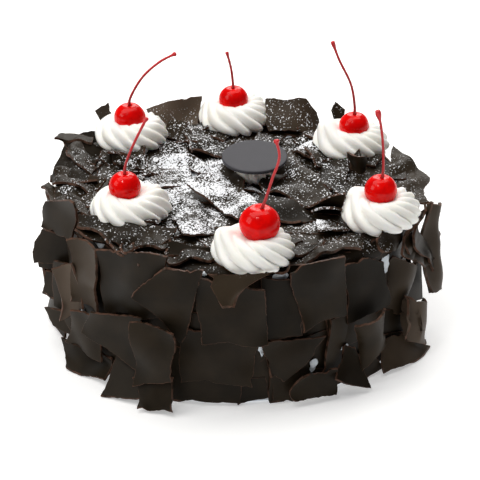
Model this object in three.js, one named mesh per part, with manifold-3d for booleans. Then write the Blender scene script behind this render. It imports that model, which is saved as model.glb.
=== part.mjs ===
// Black forest cake: a round cream-coated cake, its side and top covered with thin broken
// sheets of dark chocolate, six piped cream rosettes with stemmed cherries round the top
// and a small plain disc on a seventh rosette near the middle.
//
// Millimetres, +Z up. The origin is the middle of the flat underside. +X points to the
// right of someone who faces the front of the cake, which looks along -Y.
import * as THREE from 'three';
import { mergeVertices } from 'three/addons/utils/BufferGeometryUtils.js';
import Module from 'manifold-3d';

const wasm = await Module();
wasm.setup();

// ---------------------------------------------------------------- driving dimensions
const CORE_RADIUS = 97;       // cream-coated cake without its chocolate
const CORE_HEIGHT = 82;
const CORE_ROUND = 5;         // rounding of the cream's upper edge
const CORE_FOOT = 1.5;        // chamfer where the cream meets the board
const CORE_SIDES = 48;
const CORE_ROUND_STEPS = 3;

const GAP = 0.3;              // clearance between separate pieces
const SHEET_THICK = 1.4;      // chocolate sheets
const SINK = 1.4;             // depth to which a fused sheet sits in the cream
const TOP_SINK = 2.4;         // depth to which the lowest corner of a top sheet sits in it
const SHEET_COLUMNS = 3;      // net of a free sheet
const SHEET_ROWS = 2;
const FINE_COLUMNS = 6;       // columns where it is wavy or bends more than STRONG_BEND
const STRONG_BEND = 30;       // degrees
const SETTLE_STEP = 0.4;      // a piece is moved out by this until it is clear
const PROBE = 0.02;           // step in u and v over which a sheet's slope is taken
const TOUCH_VOLUME = 1e-6;    // pieces that share less than this are clear
const MERGE_DISTANCE = 1e-4;  // corners closer than this are one corner

const FLOOR_CLEAR = 0.4;      // lowest point of any chocolate above the board

const ROSETTE = { radius: 21.5, height: 13.5, lip: 10, ridges: 12, depth: 2.4, twist: 75 };
const CENTRE_ROSETTE = { radius: 14, height: 13, lip: 8, ridges: 11, depth: 1.3, twist: 60 };

const STEM_RADIUS = 0.65;
const KNOB_RADIUS = 1.3;
const CHERRY_SQUASH = 0.96;   // height of a cherry as a share of its width
const DIMPLE_DEPTH = 0.16;    // depth and width of the dimple, as shares of the radius
const DIMPLE_WIDTH = 0.28;

const PLAQUE_RADIUS = 18.6;
const PLAQUE_THICK = 2;
const PLAQUE_SIDES = 36;
const PLAQUE_TILT = 4;        // degrees, its front edge lower
const PLAQUE_CENTRE = [10.5, 13.5];
const PLAQUE_LEVEL = 96;      // lowest place of its middle; it rests on what is below

// ---------------------------------------------------------------- materials
const chocolate = { color: 0x2f2925, roughness: 0.42, metalness: 0 };
const cream = { color: 0xf8f5ec, roughness: 0.6, metalness: 0 };
const cherryRed = { color: 0xd0100c, roughness: 0.15, metalness: 0 };
const plaqueGrey = { color: 0x69686d, roughness: 0.5, metalness: 0 };

// ---------------------------------------------------------------- sheets of chocolate
// Every row gives the corners of its sheet in mm across and up from its own origin: upper
// left, upper right, lower right, lower left, seen from outside or, on the top, from above.
// Bends are half angles; bow is how far the edges swell out: top, right, bottom, left.

// Sheets of the side that stand free, from the innermost to the outermost: azimuth, level,
// lean (top outwards), turn (right edge outwards), bend across, bend along, corners, bow,
// depth of the wave across.
const SIDE_SHARDS = [
  [-164, 74, 0, -14, 12, 0, [[-2, 14], [25, 24], [24, 1], [-3, -3]], [0, 0, 1, 2]],
  [-151, 46, 2, -22, 10, 0, [[-9, 12], [5, 18], [10, -8], [-6, -21]]],
  [-143, 62, 2, -12, 12, 0, [[-9, 19], [11, 20], [8, -20], [-10, -21]], [1, 0, 0, 1]],
  [-142, 6, -30, -8, 8, 0, [[-22, 5], [16, 12], [18, -2], [-10, -7]], [0, 0, 0, 1]],
  [-143, 25, 2, -6, 8, 0, [[-8, 11], [12, 15], [13, -13], [-16, -11]]],
  [-125, 9, -46, 0, 6, 0, [[-8, 13], [8, 11], [16, -4], [-10, -12]]],
  [-113, 8, -28, 2, 6, 0, [[-12, 8], [8, 13], [10, -8], [-8, -9]]],
  [-129, 34, 3, -4, 12, 4, [[-15, 11], [20, 17], [15, -18], [-22, -6]]],
  [-113, 34, 2, 0, 8, 0, [[-13, 18], [12, 18], [12, -11], [-12, -21]]],
  [-123, 67, 3, 0, 12, 3, [[-24, 14], [23, 25], [21, -15], [-23, -26]]],
  [-95, 29, 2, 2, 12, 0, [[-22, 19], [22, 15], [18, -15], [-22, -17]]],
  [-75, 28, 1, 0, 10, 0, [[-12, 12], [23, 10], [0, -14], [-7, -9]]],
  [-65, 9, -18, 2, 8, 0, [[-9, 7], [12, 8], [12, -6], [-15, -5]], [1, 1, 0, 3]],
  [-75, 60, 2, 3, 10, 0, [[-14, 20], [13, 16], [9, -19], [-11, -19]], [0, -2, 1, 0]],
  [-64, 67, 2, 3, 14, 4, [[-19, 14], [11, 21], [16, -16], [-10, -20]], [3, 0, 0, 0]],
  [-53, 15, -26, 2, 8, 0, [[-3, 12], [4, 11], [9, -15], [-12, -3]], [0, 1, 1, 0]],
  [-30, 4, -20, 14, 12, 0, [[-11, 10], [9, 6], [22, -9], [-19, -4]], [0, 0, 2, 0]],
  [-46, 57, 2, 4, 14, 0, [[-20, 24], [12, 13], [18, -16], [-9, -19]], [1, 0, 0, 0]],
  [-48, 32, 4, 8, 16, -4, [[-15, 14], [10, 16], [9, -6], [-4, -23]], [0, 1, 0, 0]],
  [-23, 31, 0, 10, 40, 0, [[-16, 11], [5, 2], [7, -25], [-14, -18]], [0, 5, 0, 0]],
  [-26, 44, 2, 14, 20, 0, [[-10, 24], [18, 1], [5, -16], [-12, -11]], [1, 0, 2, 0]],
  [-108, 71, 4, -6, 8, 10, [[-3, 17], [18, 16], [3, -32], [-21, -3]], [0, 1, 0, 1]],
  [-91, 61, 3, 2, 12, 0, [[-21, 21], [16, 17], [19, -20], [-15, -19]]],
  [-90, 80, -26, 0, 12, 14, [[-17, 7], [23, 10], [-1, -8], [-7, -9]], [0, -4, 0, 0]],
  [-12, 62, 0, 18, 10, 0, [[-11, 27], [4, 21], [16, -40], [-6, -31]], [0, 0, 0, 1], 2],
];

// Sheets of the side that are pressed into the cream, in the same terms.
const TUCKED_SHARDS = [
  [-57, 29, 2, -12, 6, 0, [[-5, 17], [9, 17], [9, -20], [-9, -17]]],
  [-72, 10, -8, 0, 8, 0, [[-12, 12], [18, 6], [4, -9], [-12, -9]]],
  [-102, 9, -6, 0, 6, 0, [[-12, 6], [10, 7], [13, -4], [-13, -6]]],
  [-87, 9, -6, 0, 8, 0, [[-18, 7], [11, 7], [13, -5], [-5, -8]]],
  [-168, 66, 0, -50, 10, 0, [[1, 4], [17, 1], [18, -16], [-7, -20]], [0, 0, 0, 2]],
  [-172, 57, 0, -56, 10, 0, [[-1, 1], [15, 2], [15, -16], [-5, -17]], [0, 0, 0, 2]],
  [-167, 40, 0, -45, 6, 0, [[-2, 3], [15, 3], [16, -13], [-6, -13]]],
  [-160, 42, 0, -30, 8, 0, [[-8, 11], [11, 12], [10, -18], [-10, -20]]],
  [-158, 24, 0, -34, 8, 0, [[-13, -1], [13, 3], [14, -14], [-9, -10]]],
  [-152, 28, 0, -24, 8, 0, [[-8, 6], [8, 4], [-2, -16], [-11, -8]]],
  [-29, 23, 0, 16, 20, 0, [[-9, 11], [8, 6], [12, -14], [-10, -5]]],
  [-30, 10, -4, 16, 10, 0, [[-13, 11], [14, 3], [12, -8], [-11, -5]]],
  [-46, 7, -10, 8, 8, 0, [[-10, 9], [5, 9], [16, -5], [-8, -7]]],
  [-12, 40, 0, 26, 10, 0, [[-12, 8], [9, 5], [13, -23], [-10, -15]]],
];

// Free sheets of the top, from the lowest to the highest: x, y, spin about the vertical,
// far end up, right edge up, bend across, bend along, corners, bow.
const TOP_SHEETS = [
  [-89, 59, 0, 6, 0, 10, -6, [[-15, 6], [8, 14], [18, -6], [-9, -12]]],
  [-90, 44, 0, 4, 0, 8, 0, [[-12, 18], [11, 9], [9, -22], [-9, -5]]],
  [-91, 17, 0, 4, 0, 8, -6, [[-9, 29], [12, 4], [13, -19], [-14, -10]], [0, 0, 0, 3]],
  [-36, 57, 0, 3, 0, 6, 0, [[-8, 20], [4, 12], [13, -13], [-8, -18]], [0, 1, 0, 0]],
  [-18, 60, 0, 3, 0, 8, 0, [[-16, 19], [10, 21], [14, -19], [-7, -21]], [0, 0, 0, -1]],
  [-90, -14, 0, 4, -2, 10, 0, [[-12, 16], [11, 7], [12, -19], [-11, -4]], [1, 0, 0, 0]],
  [-38, 20, 0, 3, 2, 8, 0, [[-20, 15], [9, 17], [15, -14], [-4, -19]]],
  [-37, 90, 0, 50, 0, 10, 0, [[-17, 0], [16, 9], [15, -13], [-14, -13]], [2, 0, 0, 0]],
  [33, 86, 0, 50, 0, 10, -8, [[-16, 9], [9, 9], [20, -12], [-13, -13]], [0, 2, 0, 0]],
  [43, 49, 0, 4, -4, 10, 0, [[-16, 19], [8, 12], [11, -16], [-3, -15]]],
  [98, 8, 0, 2, -5, 10, 0, [[-6, 45], [14, 10], [7, -34], [-14, -18]], [0, -3, 0, 0]],
  [56, 14, 0, 4, 4, 10, 0, [[-9, 16], [10, 20], [5, -24], [-6, -12]], [0, 0, 0, 2]],
  [-23, -36, 0, 3, -2, 8, 0, [[-16, 10], [0, 34], [22, -11], [-4, -30]], [0, 0, 2, 0]],
  [-4, 11, 0, 4, -4, 10, 0, [[-12, 15], [2, 14], [20, -17], [-9, -10]]],
  [26, -33, 0, 4, -4, 10, 0, [[-11, 19], [25, 0], [9, -11], [-21, -7]], [0, 0, 2, 0]],
  [41, -10, 0, 2, -4, 14, 0, [[-9, 40], [18, -12], [15, -29], [-25, 2]], [2, 0, 1, 4]],
  [-5, -19, -30, 0, -6, 0, 14, [[-26, 1], [-22, 20], [25, 2], [21, -22]], [2, 0, 1, 0]],
  [53, -48, 0, 8, 0, 10, 10, [[-9, 4], [8, 8], [10, -2], [-8, -10]], [0, 0, 2, 0]],
  [-25, -80, 0, 20, 0, 6, 14, [[-16, 8], [14, 3], [12, -8], [-12, -3]], [0, 0, 1, 0]],
  [-61, -57, 0, 14, 0, 10, 16, [[-25, 12], [29, 1], [21, -14], [-25, 0]], [0, 0, 7, 0]],
];

// Sheets of the top that are pressed into the cream, in the same terms.
const TUCKED_TOP = [
  [-75, 27, 0, 3, 0, 8, 0, [[-7, 16], [8, 8], [8, -13], [-6, -9]]],
  [-34, 86, 0, 3, 0, 6, 0, [[-17, 5], [13, 9], [12, -4], [-8, -14]]],
  [23, 84, 0, 3, 0, 6, 0, [[-8, 9], [12, 5], [6, -12], [-8, -8]]],
  [35, -52, 0, 5, 0, 8, 0, [[-7, 1], [5, 9], [7, -3], [-6, -8]]],
  [47, -72, 0, 10, 0, 8, 0, [[-13, 1], [12, 9], [14, -2], [-10, -8]]],
  [70, 28, 0, 40, 0, 8, 0, [[-5, 2], [1, 9], [5, -8], [-3, -9]]],
  [60, 78, 0, 60, 0, 4, 0, [[-4, 5], [-1, 9], [5, 4], [2, -14]]],
  [-70, 66, 0, 50, 0, 4, 0, [[-14, 13], [-6, 20], [2, -8], [-2, -10]]],
];

// Rosettes round the top: azimuth, distance from the axis, turn; with the cherry's
// radius, its offset from the rosette (x, y), the height of its middle above the top of the
// cream, and the stem's points from the cherry's middle.
const ROSETTES = [
  { azimuth: 134, distance: 88.5, turn: 0, cherry: 9.2, offset: [-1, -2], lift: 17.2,
    stem: [[0.8, -1, 13], [8, 1, 25], [18, 1, 34.5], [28, 0, 40.5]] },
  { azimuth: 91, distance: 90, turn: 9, cherry: 8.7, offset: [0, -2], lift: 17.4,
    stem: [[-0.5, 0, 12], [-1.5, 0, 20], [-4, 0, 30.5]] },
  { azimuth: 38, distance: 86, turn: 20, cherry: 8.8, offset: [1, -2], lift: 16.6,
    stem: [[0, 0, 13], [-2.5, 1, 26], [-9.5, 1, 41], [-13.8, 0, 53]] },
  { azimuth: -27, distance: 88.5, turn: 4, cherry: 9, offset: [0, 1], lift: 19,
    stem: [[1, 0, 12], [0.5, 0, 26], [-1, 0, 38], [-3.2, 0, 47.5]] },
  { azimuth: -83.5, distance: 85, turn: 15, cherry: 10.8, offset: [3, 2], lift: 20.6,
    stem: [[3, 0, 14], [6.5, 0, 26], [10, 0, 38], [8.3, 0, 48.5]] },
  { azimuth: -149.5, distance: 68, turn: 11, cherry: 8.8, offset: [-2, 0], lift: 19,
    stem: [[0.5, 0, 12], [4, 0, 22], [9, 0, 33], [13, 0, 41]] },
];
const ROSETTE_LIFT = 1.6;     // underside of a rosette above the top of the cream

// Chocolate that lies under the free pieces, laid in rows by a rule: level of the row's
// middle, number of sheets, azimuth of the first, lean and its spread, spread of the turn.
const SIDE_ROWS = [
  { level: 15, count: 11, first: 0, lean: -3, loose: 2, turn: 2, columns: 1 },
  { level: 42, count: 11, first: 17, lean: 1, loose: 2, turn: 2, columns: 1 },
  { level: 65, count: 11, first: 5, lean: 1, loose: 2, turn: 2, columns: 1 },
];
const BACK_ROWS = [
  { level: 15, count: 7, first: 12, lean: -15, loose: 5, turn: 18, columns: 2 },
  { level: 40, count: 8, first: 2, lean: 12, loose: 5, turn: 18, columns: 2 },
  { level: 61, count: 7, first: 9, lean: 12, loose: 5, turn: 18, columns: 2 },
];
const BACK_REACH = 172;       // azimuths over which the back rows lie
const RULE_WIDTH = 44;
const RULE_HEIGHT = 34;
const RULE_BEND = 13;         // half angle of the bend across
const RULE_SPREAD = { azimuth: 3, level: 2, size: 3, roll: 8 };
const RULE_SEED = 51;
// Corners of the rows' sheets, in halves of the width and the height.
const RULE_OUTLINES = [
  [[-1, 0.94], [0.95, 1], [1, -0.96], [-0.94, -1]],
  [[-0.7, 1], [1, 0.82], [0.82, -1], [-1, -0.72]],
  [[-1, 0.8], [0.72, 1], [1, -0.75], [-0.8, -1]],
  [[-0.8, 1], [0.8, 0.94], [1, -0.92], [-1, -1]],
  [[-0.9, 1], [0.75, 0.8], [1, -0.7], [-0.8, -1]],
];

// ---------------------------------------------------------------- small helpers
const rad = THREE.MathUtils.degToRad;

/** A repeatable random number source between 0 and 1. */
function randomSource(seed) {
  let state = seed >>> 0;
  return () => {
    state = (Math.imul(state, 1664525) + 1013904223) >>> 0;
    return state / 4294967296;
  };
}

/** The closed geometry as a solid that can be joined and cut. */
function toSolid(geometry) {
  const bare = geometry.clone();
  bare.deleteAttribute('normal');
  bare.deleteAttribute('uv');
  const merged = mergeVertices(bare, MERGE_DISTANCE);
  return new wasm.Manifold(new wasm.Mesh({
    numProp: 3,
    vertProperties: new Float32Array(merged.attributes.position.array),
    triVerts: new Uint32Array(merged.index.array),
  }));
}

/** A cut or joined solid as a geometry again. */
function toGeometry(solid) {
  const result = solid.getMesh();
  const geometry = new THREE.BufferGeometry();
  geometry.setAttribute('position', new THREE.BufferAttribute(result.vertProperties, 3));
  geometry.setIndex(new THREE.BufferAttribute(result.triVerts, 1));
  geometry.computeVertexNormals();
  return geometry;
}

/** The largest piece of a solid: loose scraps are dropped and sealed hollows filled. */
function largestPiece(solid) {
  return solid.decompose().reduce((best, part) => (part.volume() > best.volume() ? part : best));
}

/** Closed geometry from rings of points, with a fan of triangles at each end. */
function skin(rings, first, last) {
  const count = rings[0].length;
  const points = [first, ...rings.flat(), last];
  const end = points.length - 1;
  const index = [];
  for (let side = 0; side < count; side += 1) {
    const next = (side + 1) % count;
    index.push(0, 1 + next, 1 + side);
    for (let ring = 0; ring + 1 < rings.length; ring += 1) {
      const low = 1 + ring * count;
      const high = low + count;
      index.push(low + side, low + next, high + next, low + side, high + next, high + side);
    }
    const top = 1 + (rings.length - 1) * count;
    index.push(top + side, top + next, end);
  }
  const geometry = new THREE.BufferGeometry();
  geometry.setAttribute('position', new THREE.Float32BufferAttribute(points.flat(), 3));
  geometry.setIndex(index);
  return geometry;
}

// ---------------------------------------------------------------- chocolate sheets

/** A place on a sheet that bends by so many degrees within its half size, and its fall. */
function bent(place, half, degrees) {
  if (Math.abs(degrees) < 0.5) return [place, 0];
  const bendRadius = half / rad(degrees);
  return [bendRadius * Math.sin(place / bendRadius),
    bendRadius * (Math.cos(place / bendRadius) - 1)];
}

/** Point of a sheet's middle surface; u and v run from -1 to 1 across and along it. */
function sheetPoint(sheet, u, v) {
  const [upperLeft, upperRight, lowerRight, lowerLeft] = sheet.corners;
  const [bowTop, bowRight, bowBottom, bowLeft] = sheet.bow;
  const mix = (axis) => (
    (upperLeft[axis] * (1 - u) + upperRight[axis] * (1 + u)) * (1 + v)
    + (lowerLeft[axis] * (1 - u) + lowerRight[axis] * (1 + u)) * (1 - v)
  ) / 4;
  const swellAcross = (bowRight * (1 + u) - bowLeft * (1 - u)) * (1 - v * v) / 2;
  const swellAlong = (bowTop * (1 + v) - bowBottom * (1 - v)) * (1 - u * u) / 2;
  const [x, fallAcross] = bent(mix(0) + swellAcross, sheet.width / 2, sheet.across);
  const [y, fallAlong] = bent(mix(1) + swellAlong, sheet.height / 2, sheet.along);
  const wave = sheet.wave * Math.sin(Math.PI * u);
  return new THREE.Vector3(x, y, fallAcross + fallAlong + wave);
}

/** Closed sheet of chocolate, grown on all sides by the margin. */
function sheetGeometry(sheet, margin = 0) {
  const { columns, rows } = sheet;
  const reachU = 1 + 2 * margin / sheet.width;
  const reachV = 1 + 2 * margin / sheet.height;
  const half = SHEET_THICK / 2 + margin;
  const front = [];
  const rear = [];
  for (let row = 0; row <= rows; row += 1) {
    for (let column = 0; column <= columns; column += 1) {
      const u = reachU * (2 * column / columns - 1);
      const v = reachV * (2 * row / rows - 1);
      const middle = sheetPoint(sheet, u, v);
      const alongU = sheetPoint(sheet, u + PROBE, v).sub(sheetPoint(sheet, u - PROBE, v));
      const alongV = sheetPoint(sheet, u, v + PROBE).sub(sheetPoint(sheet, u, v - PROBE));
      const normal = alongU.cross(alongV).normalize().multiplyScalar(half);
      front.push(middle.clone().add(normal).toArray());
      rear.push(middle.clone().sub(normal).toArray());
    }
  }
  const wide = columns + 1;
  const offset = front.length;
  const index = [];
  for (let row = 0; row < rows; row += 1) {
    for (let column = 0; column < columns; column += 1) {
      const at = row * wide + column;
      index.push(at, at + 1, at + wide + 1, at, at + wide + 1, at + wide);
      const below = offset + at;
      index.push(below, below + wide + 1, below + 1, below, below + wide, below + wide + 1);
    }
  }
  const rim = [];
  for (let column = 0; column < columns; column += 1) rim.push(column);
  for (let row = 0; row < rows; row += 1) rim.push(row * wide + columns);
  for (let column = columns; column > 0; column -= 1) rim.push(rows * wide + column);
  for (let row = rows; row > 0; row -= 1) rim.push(row * wide);
  rim.forEach((from, place) => {
    const to = rim[(place + 1) % rim.length];
    index.push(from, offset + from, offset + to, from, offset + to, to);
  });
  const geometry = new THREE.BufferGeometry();
  geometry.setAttribute('position',
    new THREE.Float32BufferAttribute([...front, ...rear].flat(), 3));
  geometry.setIndex(index);
  return geometry;
}

/** Turns a sheet in its own frame: first its roll, then its turn and its lean. */
function ownTurn(roll, lean, turn) {
  return new THREE.Matrix4().makeRotationX(rad(lean))
    .multiply(new THREE.Matrix4().makeRotationY(-rad(turn)))
    .multiply(new THREE.Matrix4().makeRotationZ(rad(roll)));
}

/** Place of a sheet on the side of the cake, facing outwards. */
function sidePlace(sheet, radius) {
  const azimuth = rad(sheet.azimuth);
  const outward = new THREE.Vector3(Math.cos(azimuth), Math.sin(azimuth), 0);
  const tangent = new THREE.Vector3(-outward.y, outward.x, 0);
  return new THREE.Matrix4().makeTranslation(
    outward.x * radius, outward.y * radius, sheet.level,
  ).multiply(new THREE.Matrix4().makeBasis(tangent, new THREE.Vector3(0, 0, 1), outward))
    .multiply(ownTurn(sheet.roll, sheet.lean, sheet.turn));
}

/** Place of a sheet on the top of the cake, facing up. */
function topPlace(sheet, level) {
  return new THREE.Matrix4().makeTranslation(sheet.x, sheet.y, level)
    .multiply(new THREE.Matrix4().makeRotationZ(rad(sheet.spin)))
    .multiply(ownTurn(0, sheet.lean, sheet.turn));
}

/** A sheet of that outline with its size; the net is finer where it bends a lot. */
function shaped({ corners, bow = [0, 0, 0, 0], wave = 0, ...rest }) {
  const span = (axis) => {
    const places = corners.map((corner) => corner[axis]);
    return Math.max(...places) - Math.min(...places);
  };
  const columns = rest.across > STRONG_BEND || wave > 0 ? FINE_COLUMNS : SHEET_COLUMNS;
  return {
    columns, rows: SHEET_ROWS, roll: 0, ...rest,
    corners, bow, wave, width: span(0), height: span(1),
  };
}

/** Names the numbers of a row for the side. */
function sideSheet([azimuth, level, lean, turn, across, along, corners, bow, wave]) {
  return shaped({ azimuth, level, lean, turn, across, along, corners, bow, wave });
}

/** Names the numbers of a row for the top. */
function topSheet([x, y, spin, lean, turn, across, along, corners, bow]) {
  return shaped({ x, y, spin, lean, turn, across, along, corners, bow });
}

/** Level at which the lowest corner of a top sheet sits in the cream. */
function sunkLevel(sheet) {
  const geometry = sheetGeometry(sheet).applyMatrix4(topPlace(sheet, 0));
  geometry.computeBoundingBox();
  return CORE_HEIGHT - TOP_SINK - geometry.boundingBox.min.z;
}

/** Lifts a sheet of the side so that it stays above the board. */
function aboveBoard(sheet) {
  const geometry = sheetGeometry(sheet).applyMatrix4(sidePlace(sheet, CORE_RADIUS));
  geometry.computeBoundingBox();
  const short = FLOOR_CLEAR - geometry.boundingBox.min.z;
  return short > 0 ? { ...sheet, level: sheet.level + short } : sheet;
}

/** Distance from the axis at which a fused sheet's innermost corner sits in the cream. */
function sunkRadius(sheet) {
  const geometry = sheetGeometry(sheet).applyMatrix4(sidePlace(sheet, CORE_RADIUS));
  const places = geometry.attributes.position;
  let least = Infinity;
  for (let at = 0; at < places.count; at += 1) {
    least = Math.min(least, Math.hypot(places.getX(at), places.getY(at)));
  }
  return 2 * CORE_RADIUS - SINK - least;
}

/** Rows of sheets pressed into the cream of the side. */
function ruleSheets() {
  const random = randomSource(RULE_SEED);
  const spread = (range) => (random() * 2 - 1) * range;
  const sheets = [];
  const lay = (row, azimuth) => {
    const place = {
      azimuth: azimuth + spread(RULE_SPREAD.azimuth), level: row.level + spread(RULE_SPREAD.level),
    };
    const halfWidth = (RULE_WIDTH + spread(RULE_SPREAD.size)) / 2;
    const halfHeight = (RULE_HEIGHT + spread(RULE_SPREAD.size)) / 2;
    const pose = {
      roll: spread(RULE_SPREAD.roll), lean: row.lean + spread(row.loose), turn: spread(row.turn),
    };
    const outline = RULE_OUTLINES[Math.floor(random() * RULE_OUTLINES.length)];
    const corners = outline.map(([x, y]) => [x * halfWidth, y * halfHeight]);
    sheets.push(shaped({
      ...place, ...pose, across: RULE_BEND, along: 0, corners, columns: row.columns, rows: 1,
    }));
  };
  for (const row of SIDE_ROWS) {
    for (let place = 0; place < row.count; place += 1) {
      lay(row, row.first + 360 * place / row.count);
    }
  }
  for (const row of BACK_ROWS) {
    for (let place = 0; place < row.count; place += 1) {
      lay(row, row.first + BACK_REACH * place / (row.count - 1));
    }
  }
  return sheets;
}

// ---------------------------------------------------------------- cake body

/** The cream-coated cake without its toppings. */
function coreGeometry() {
  const profile = [
    new THREE.Vector2(0, 0),
    new THREE.Vector2(CORE_RADIUS - CORE_FOOT, 0),
    new THREE.Vector2(CORE_RADIUS, CORE_FOOT),
  ];
  for (let step = 0; step <= CORE_ROUND_STEPS; step += 1) {
    const angle = Math.PI / 2 * step / CORE_ROUND_STEPS;
    profile.push(new THREE.Vector2(
      CORE_RADIUS - CORE_ROUND * (1 - Math.cos(angle)),
      CORE_HEIGHT - CORE_ROUND * (1 - Math.sin(angle)),
    ));
  }
  profile.push(new THREE.Vector2(0, CORE_HEIGHT));
  return new THREE.LatheGeometry(profile, CORE_SIDES).rotateX(Math.PI / 2);
}

/** The core with its pressed-in sheets, and the clearance that each of them needs. */
function buildBody() {
  const solids = [toSolid(coreGeometry())];
  const guards = [];
  const press = (sheet, matrix) => {
    solids.push(toSolid(sheetGeometry(sheet).applyMatrix4(matrix)));
    guards.push(toSolid(sheetGeometry(sheet, GAP).applyMatrix4(matrix)));
  };
  const plain = (sheet) => ({ ...sheet, columns: 2, rows: 1 });
  [...ruleSheets(), ...TUCKED_SHARDS.map(sideSheet).map(plain)].map(aboveBoard)
    .forEach((sheet) => press(sheet, sidePlace(sheet, sunkRadius(sheet))));
  TUCKED_TOP.map(topSheet).map(plain)
    .forEach((sheet) => press(sheet, topPlace(sheet, sunkLevel(sheet))));
  return { whole: wasm.Manifold.union(solids), guards };
}

// ---------------------------------------------------------------- clearances

/** Holds every finished solid, so that later pieces can be set clear of them. */
class Placed {
  constructor() {
    this.solids = [];
  }

  add(solid) {
    this.solids.push({ solid, box: solid.boundingBox() });
  }

  touches(guard) {
    const box = guard.boundingBox();
    const apart = (other) => [0, 1, 2].some(
      (axis) => box.min[axis] > other.max[axis] || box.max[axis] < other.min[axis],
    );
    return this.solids.some(
      (entry) => !apart(entry.box) && guard.intersect(entry.solid).volume() > TOUCH_VOLUME,
    );
  }
}

/** Moves a sheet by steps until it is clear of everything that is already placed. */
function settle(sheet, placeAt, start, placed) {
  for (let reach = start; ; reach += SETTLE_STEP) {
    const matrix = placeAt(sheet, reach);
    const guard = toSolid(sheetGeometry(sheet, GAP).applyMatrix4(matrix));
    if (!placed.touches(guard)) {
      placed.add(toSolid(sheetGeometry(sheet).applyMatrix4(matrix)));
      return { matrix, guard };
    }
  }
}

// ---------------------------------------------------------------- cream and fruit

/** A piped rosette standing on z = 0, its ridges turning as they run outwards. */
function rosetteGeometry({ radius, height, lip, ridges, depth, twist }, turn) {
  // distance, height and ridge depth of each ring, as shares of the rosette's sizes
  const rings = [
    [0.88, 0, 0.6, 1.1],
    [1, 0.3, 1, 0.9],
    [0.8, 0.74, 1, 0.5],
    [lip / radius, 1, 0.6, 0.1],
  ];
  const count = ridges * 2;
  const points = rings.map(([share, level, cut, sweep]) => {
    const ring = [];
    for (let at = 0; at < count; at += 1) {
      const angle = rad(turn + twist * sweep) + 2 * Math.PI * at / count;
      const distance = radius * share + (at % 2 ? -depth : depth * 0.4) * cut;
      ring.push([distance * Math.cos(angle), distance * Math.sin(angle), height * level]);
    }
    return ring;
  });
  return skin(points, [0, 0, 0], [0, 0, height * 0.8]);
}

/** A cherry round the origin with the dimple of its stem on top. */
function cherryGeometry(radius) {
  const geometry = new THREE.SphereGeometry(radius, 12, 7).rotateX(Math.PI / 2);
  const places = geometry.attributes.position;
  for (let at = 0; at < places.count; at += 1) {
    const spread = Math.hypot(places.getX(at), places.getY(at)) / radius;
    const shape = Math.exp(-((spread / DIMPLE_WIDTH) ** 2));
    const dimple = places.getZ(at) > 0 ? DIMPLE_DEPTH * radius * shape : 0;
    places.setZ(at, places.getZ(at) * CHERRY_SQUASH - dimple);
  }
  return geometry;
}

/** A stem along its points, with a small knob at its free end. */
function stemSolid(points) {
  const path = new THREE.CatmullRomCurve3(points.map((point) => new THREE.Vector3(...point)));
  const section = new THREE.Shape();
  section.absarc(0, 0, STEM_RADIUS, 0, 2 * Math.PI);
  const rod = new THREE.ExtrudeGeometry(section, {
    extrudePath: path, steps: 6, curveSegments: 3, bevelEnabled: false,
  });
  const knob = new THREE.SphereGeometry(KNOB_RADIUS, 6, 4);
  knob.translate(...points[points.length - 1]);
  return toSolid(rod).add(toSolid(knob));
}

// ---------------------------------------------------------------- assembly
const cake = new THREE.Group();
cake.name = 'black_forest_cake';

/** Adds a named mesh with its material. */
function addMesh(name, geometry, finish, matrix = new THREE.Matrix4()) {
  const mesh = new THREE.Mesh(geometry, new THREE.MeshStandardMaterial(finish));
  mesh.name = name;
  mesh.applyMatrix4(matrix);
  cake.add(mesh);
}

const numbered = (kind, place) => `${kind}_${String(place + 1).padStart(2, '0')}`;

const placed = new Placed();
const sheetGuards = [];
TOP_SHEETS.map(topSheet).forEach((sheet, place) => {
  const { matrix, guard } = settle(sheet, topPlace, sunkLevel(sheet), placed);
  sheetGuards.push(guard);
  addMesh(numbered('top_sheet', place), sheetGeometry(sheet), chocolate, matrix);
});

const { whole, guards } = buildBody();
const body = largestPiece(whole.subtract(wasm.Manifold.union(sheetGuards)));
placed.add(body);
sheetGuards.push(...guards);
addMesh('cake_body', toGeometry(body), chocolate);

SIDE_SHARDS.map(sideSheet).map(aboveBoard).forEach((sheet, place) => {
  const { matrix, guard } = settle(sheet, sidePlace, CORE_RADIUS, placed);
  sheetGuards.push(guard);
  addMesh(numbered('side_shard', place), sheetGeometry(sheet), chocolate, matrix);
});

const allGuards = wasm.Manifold.union(sheetGuards);

ROSETTES.forEach(({ azimuth, distance, turn, cherry, offset, lift, stem }, place) => {
  const x = distance * Math.cos(rad(azimuth));
  const y = distance * Math.sin(rad(azimuth));
  const base = CORE_HEIGHT + ROSETTE_LIFT;
  const middle = [x + offset[0], y + offset[1], CORE_HEIGHT + lift];
  const pocket = cherryGeometry(cherry + GAP).translate(...middle);
  const piped = toSolid(rosetteGeometry(ROSETTE, turn).translate(x, y, base));
  const rosette = largestPiece(piped.subtract(allGuards).subtract(toSolid(pocket)));
  addMesh(`rosette_${place + 1}`, toGeometry(rosette), cream);
  const fruit = toSolid(cherryGeometry(cherry)).add(stemSolid([[0, 0, cherry * 0.5], ...stem]));
  addMesh(`cherry_${place + 1}`, toGeometry(fruit), cherryRed,
    new THREE.Matrix4().makeTranslation(...middle));
});

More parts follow.
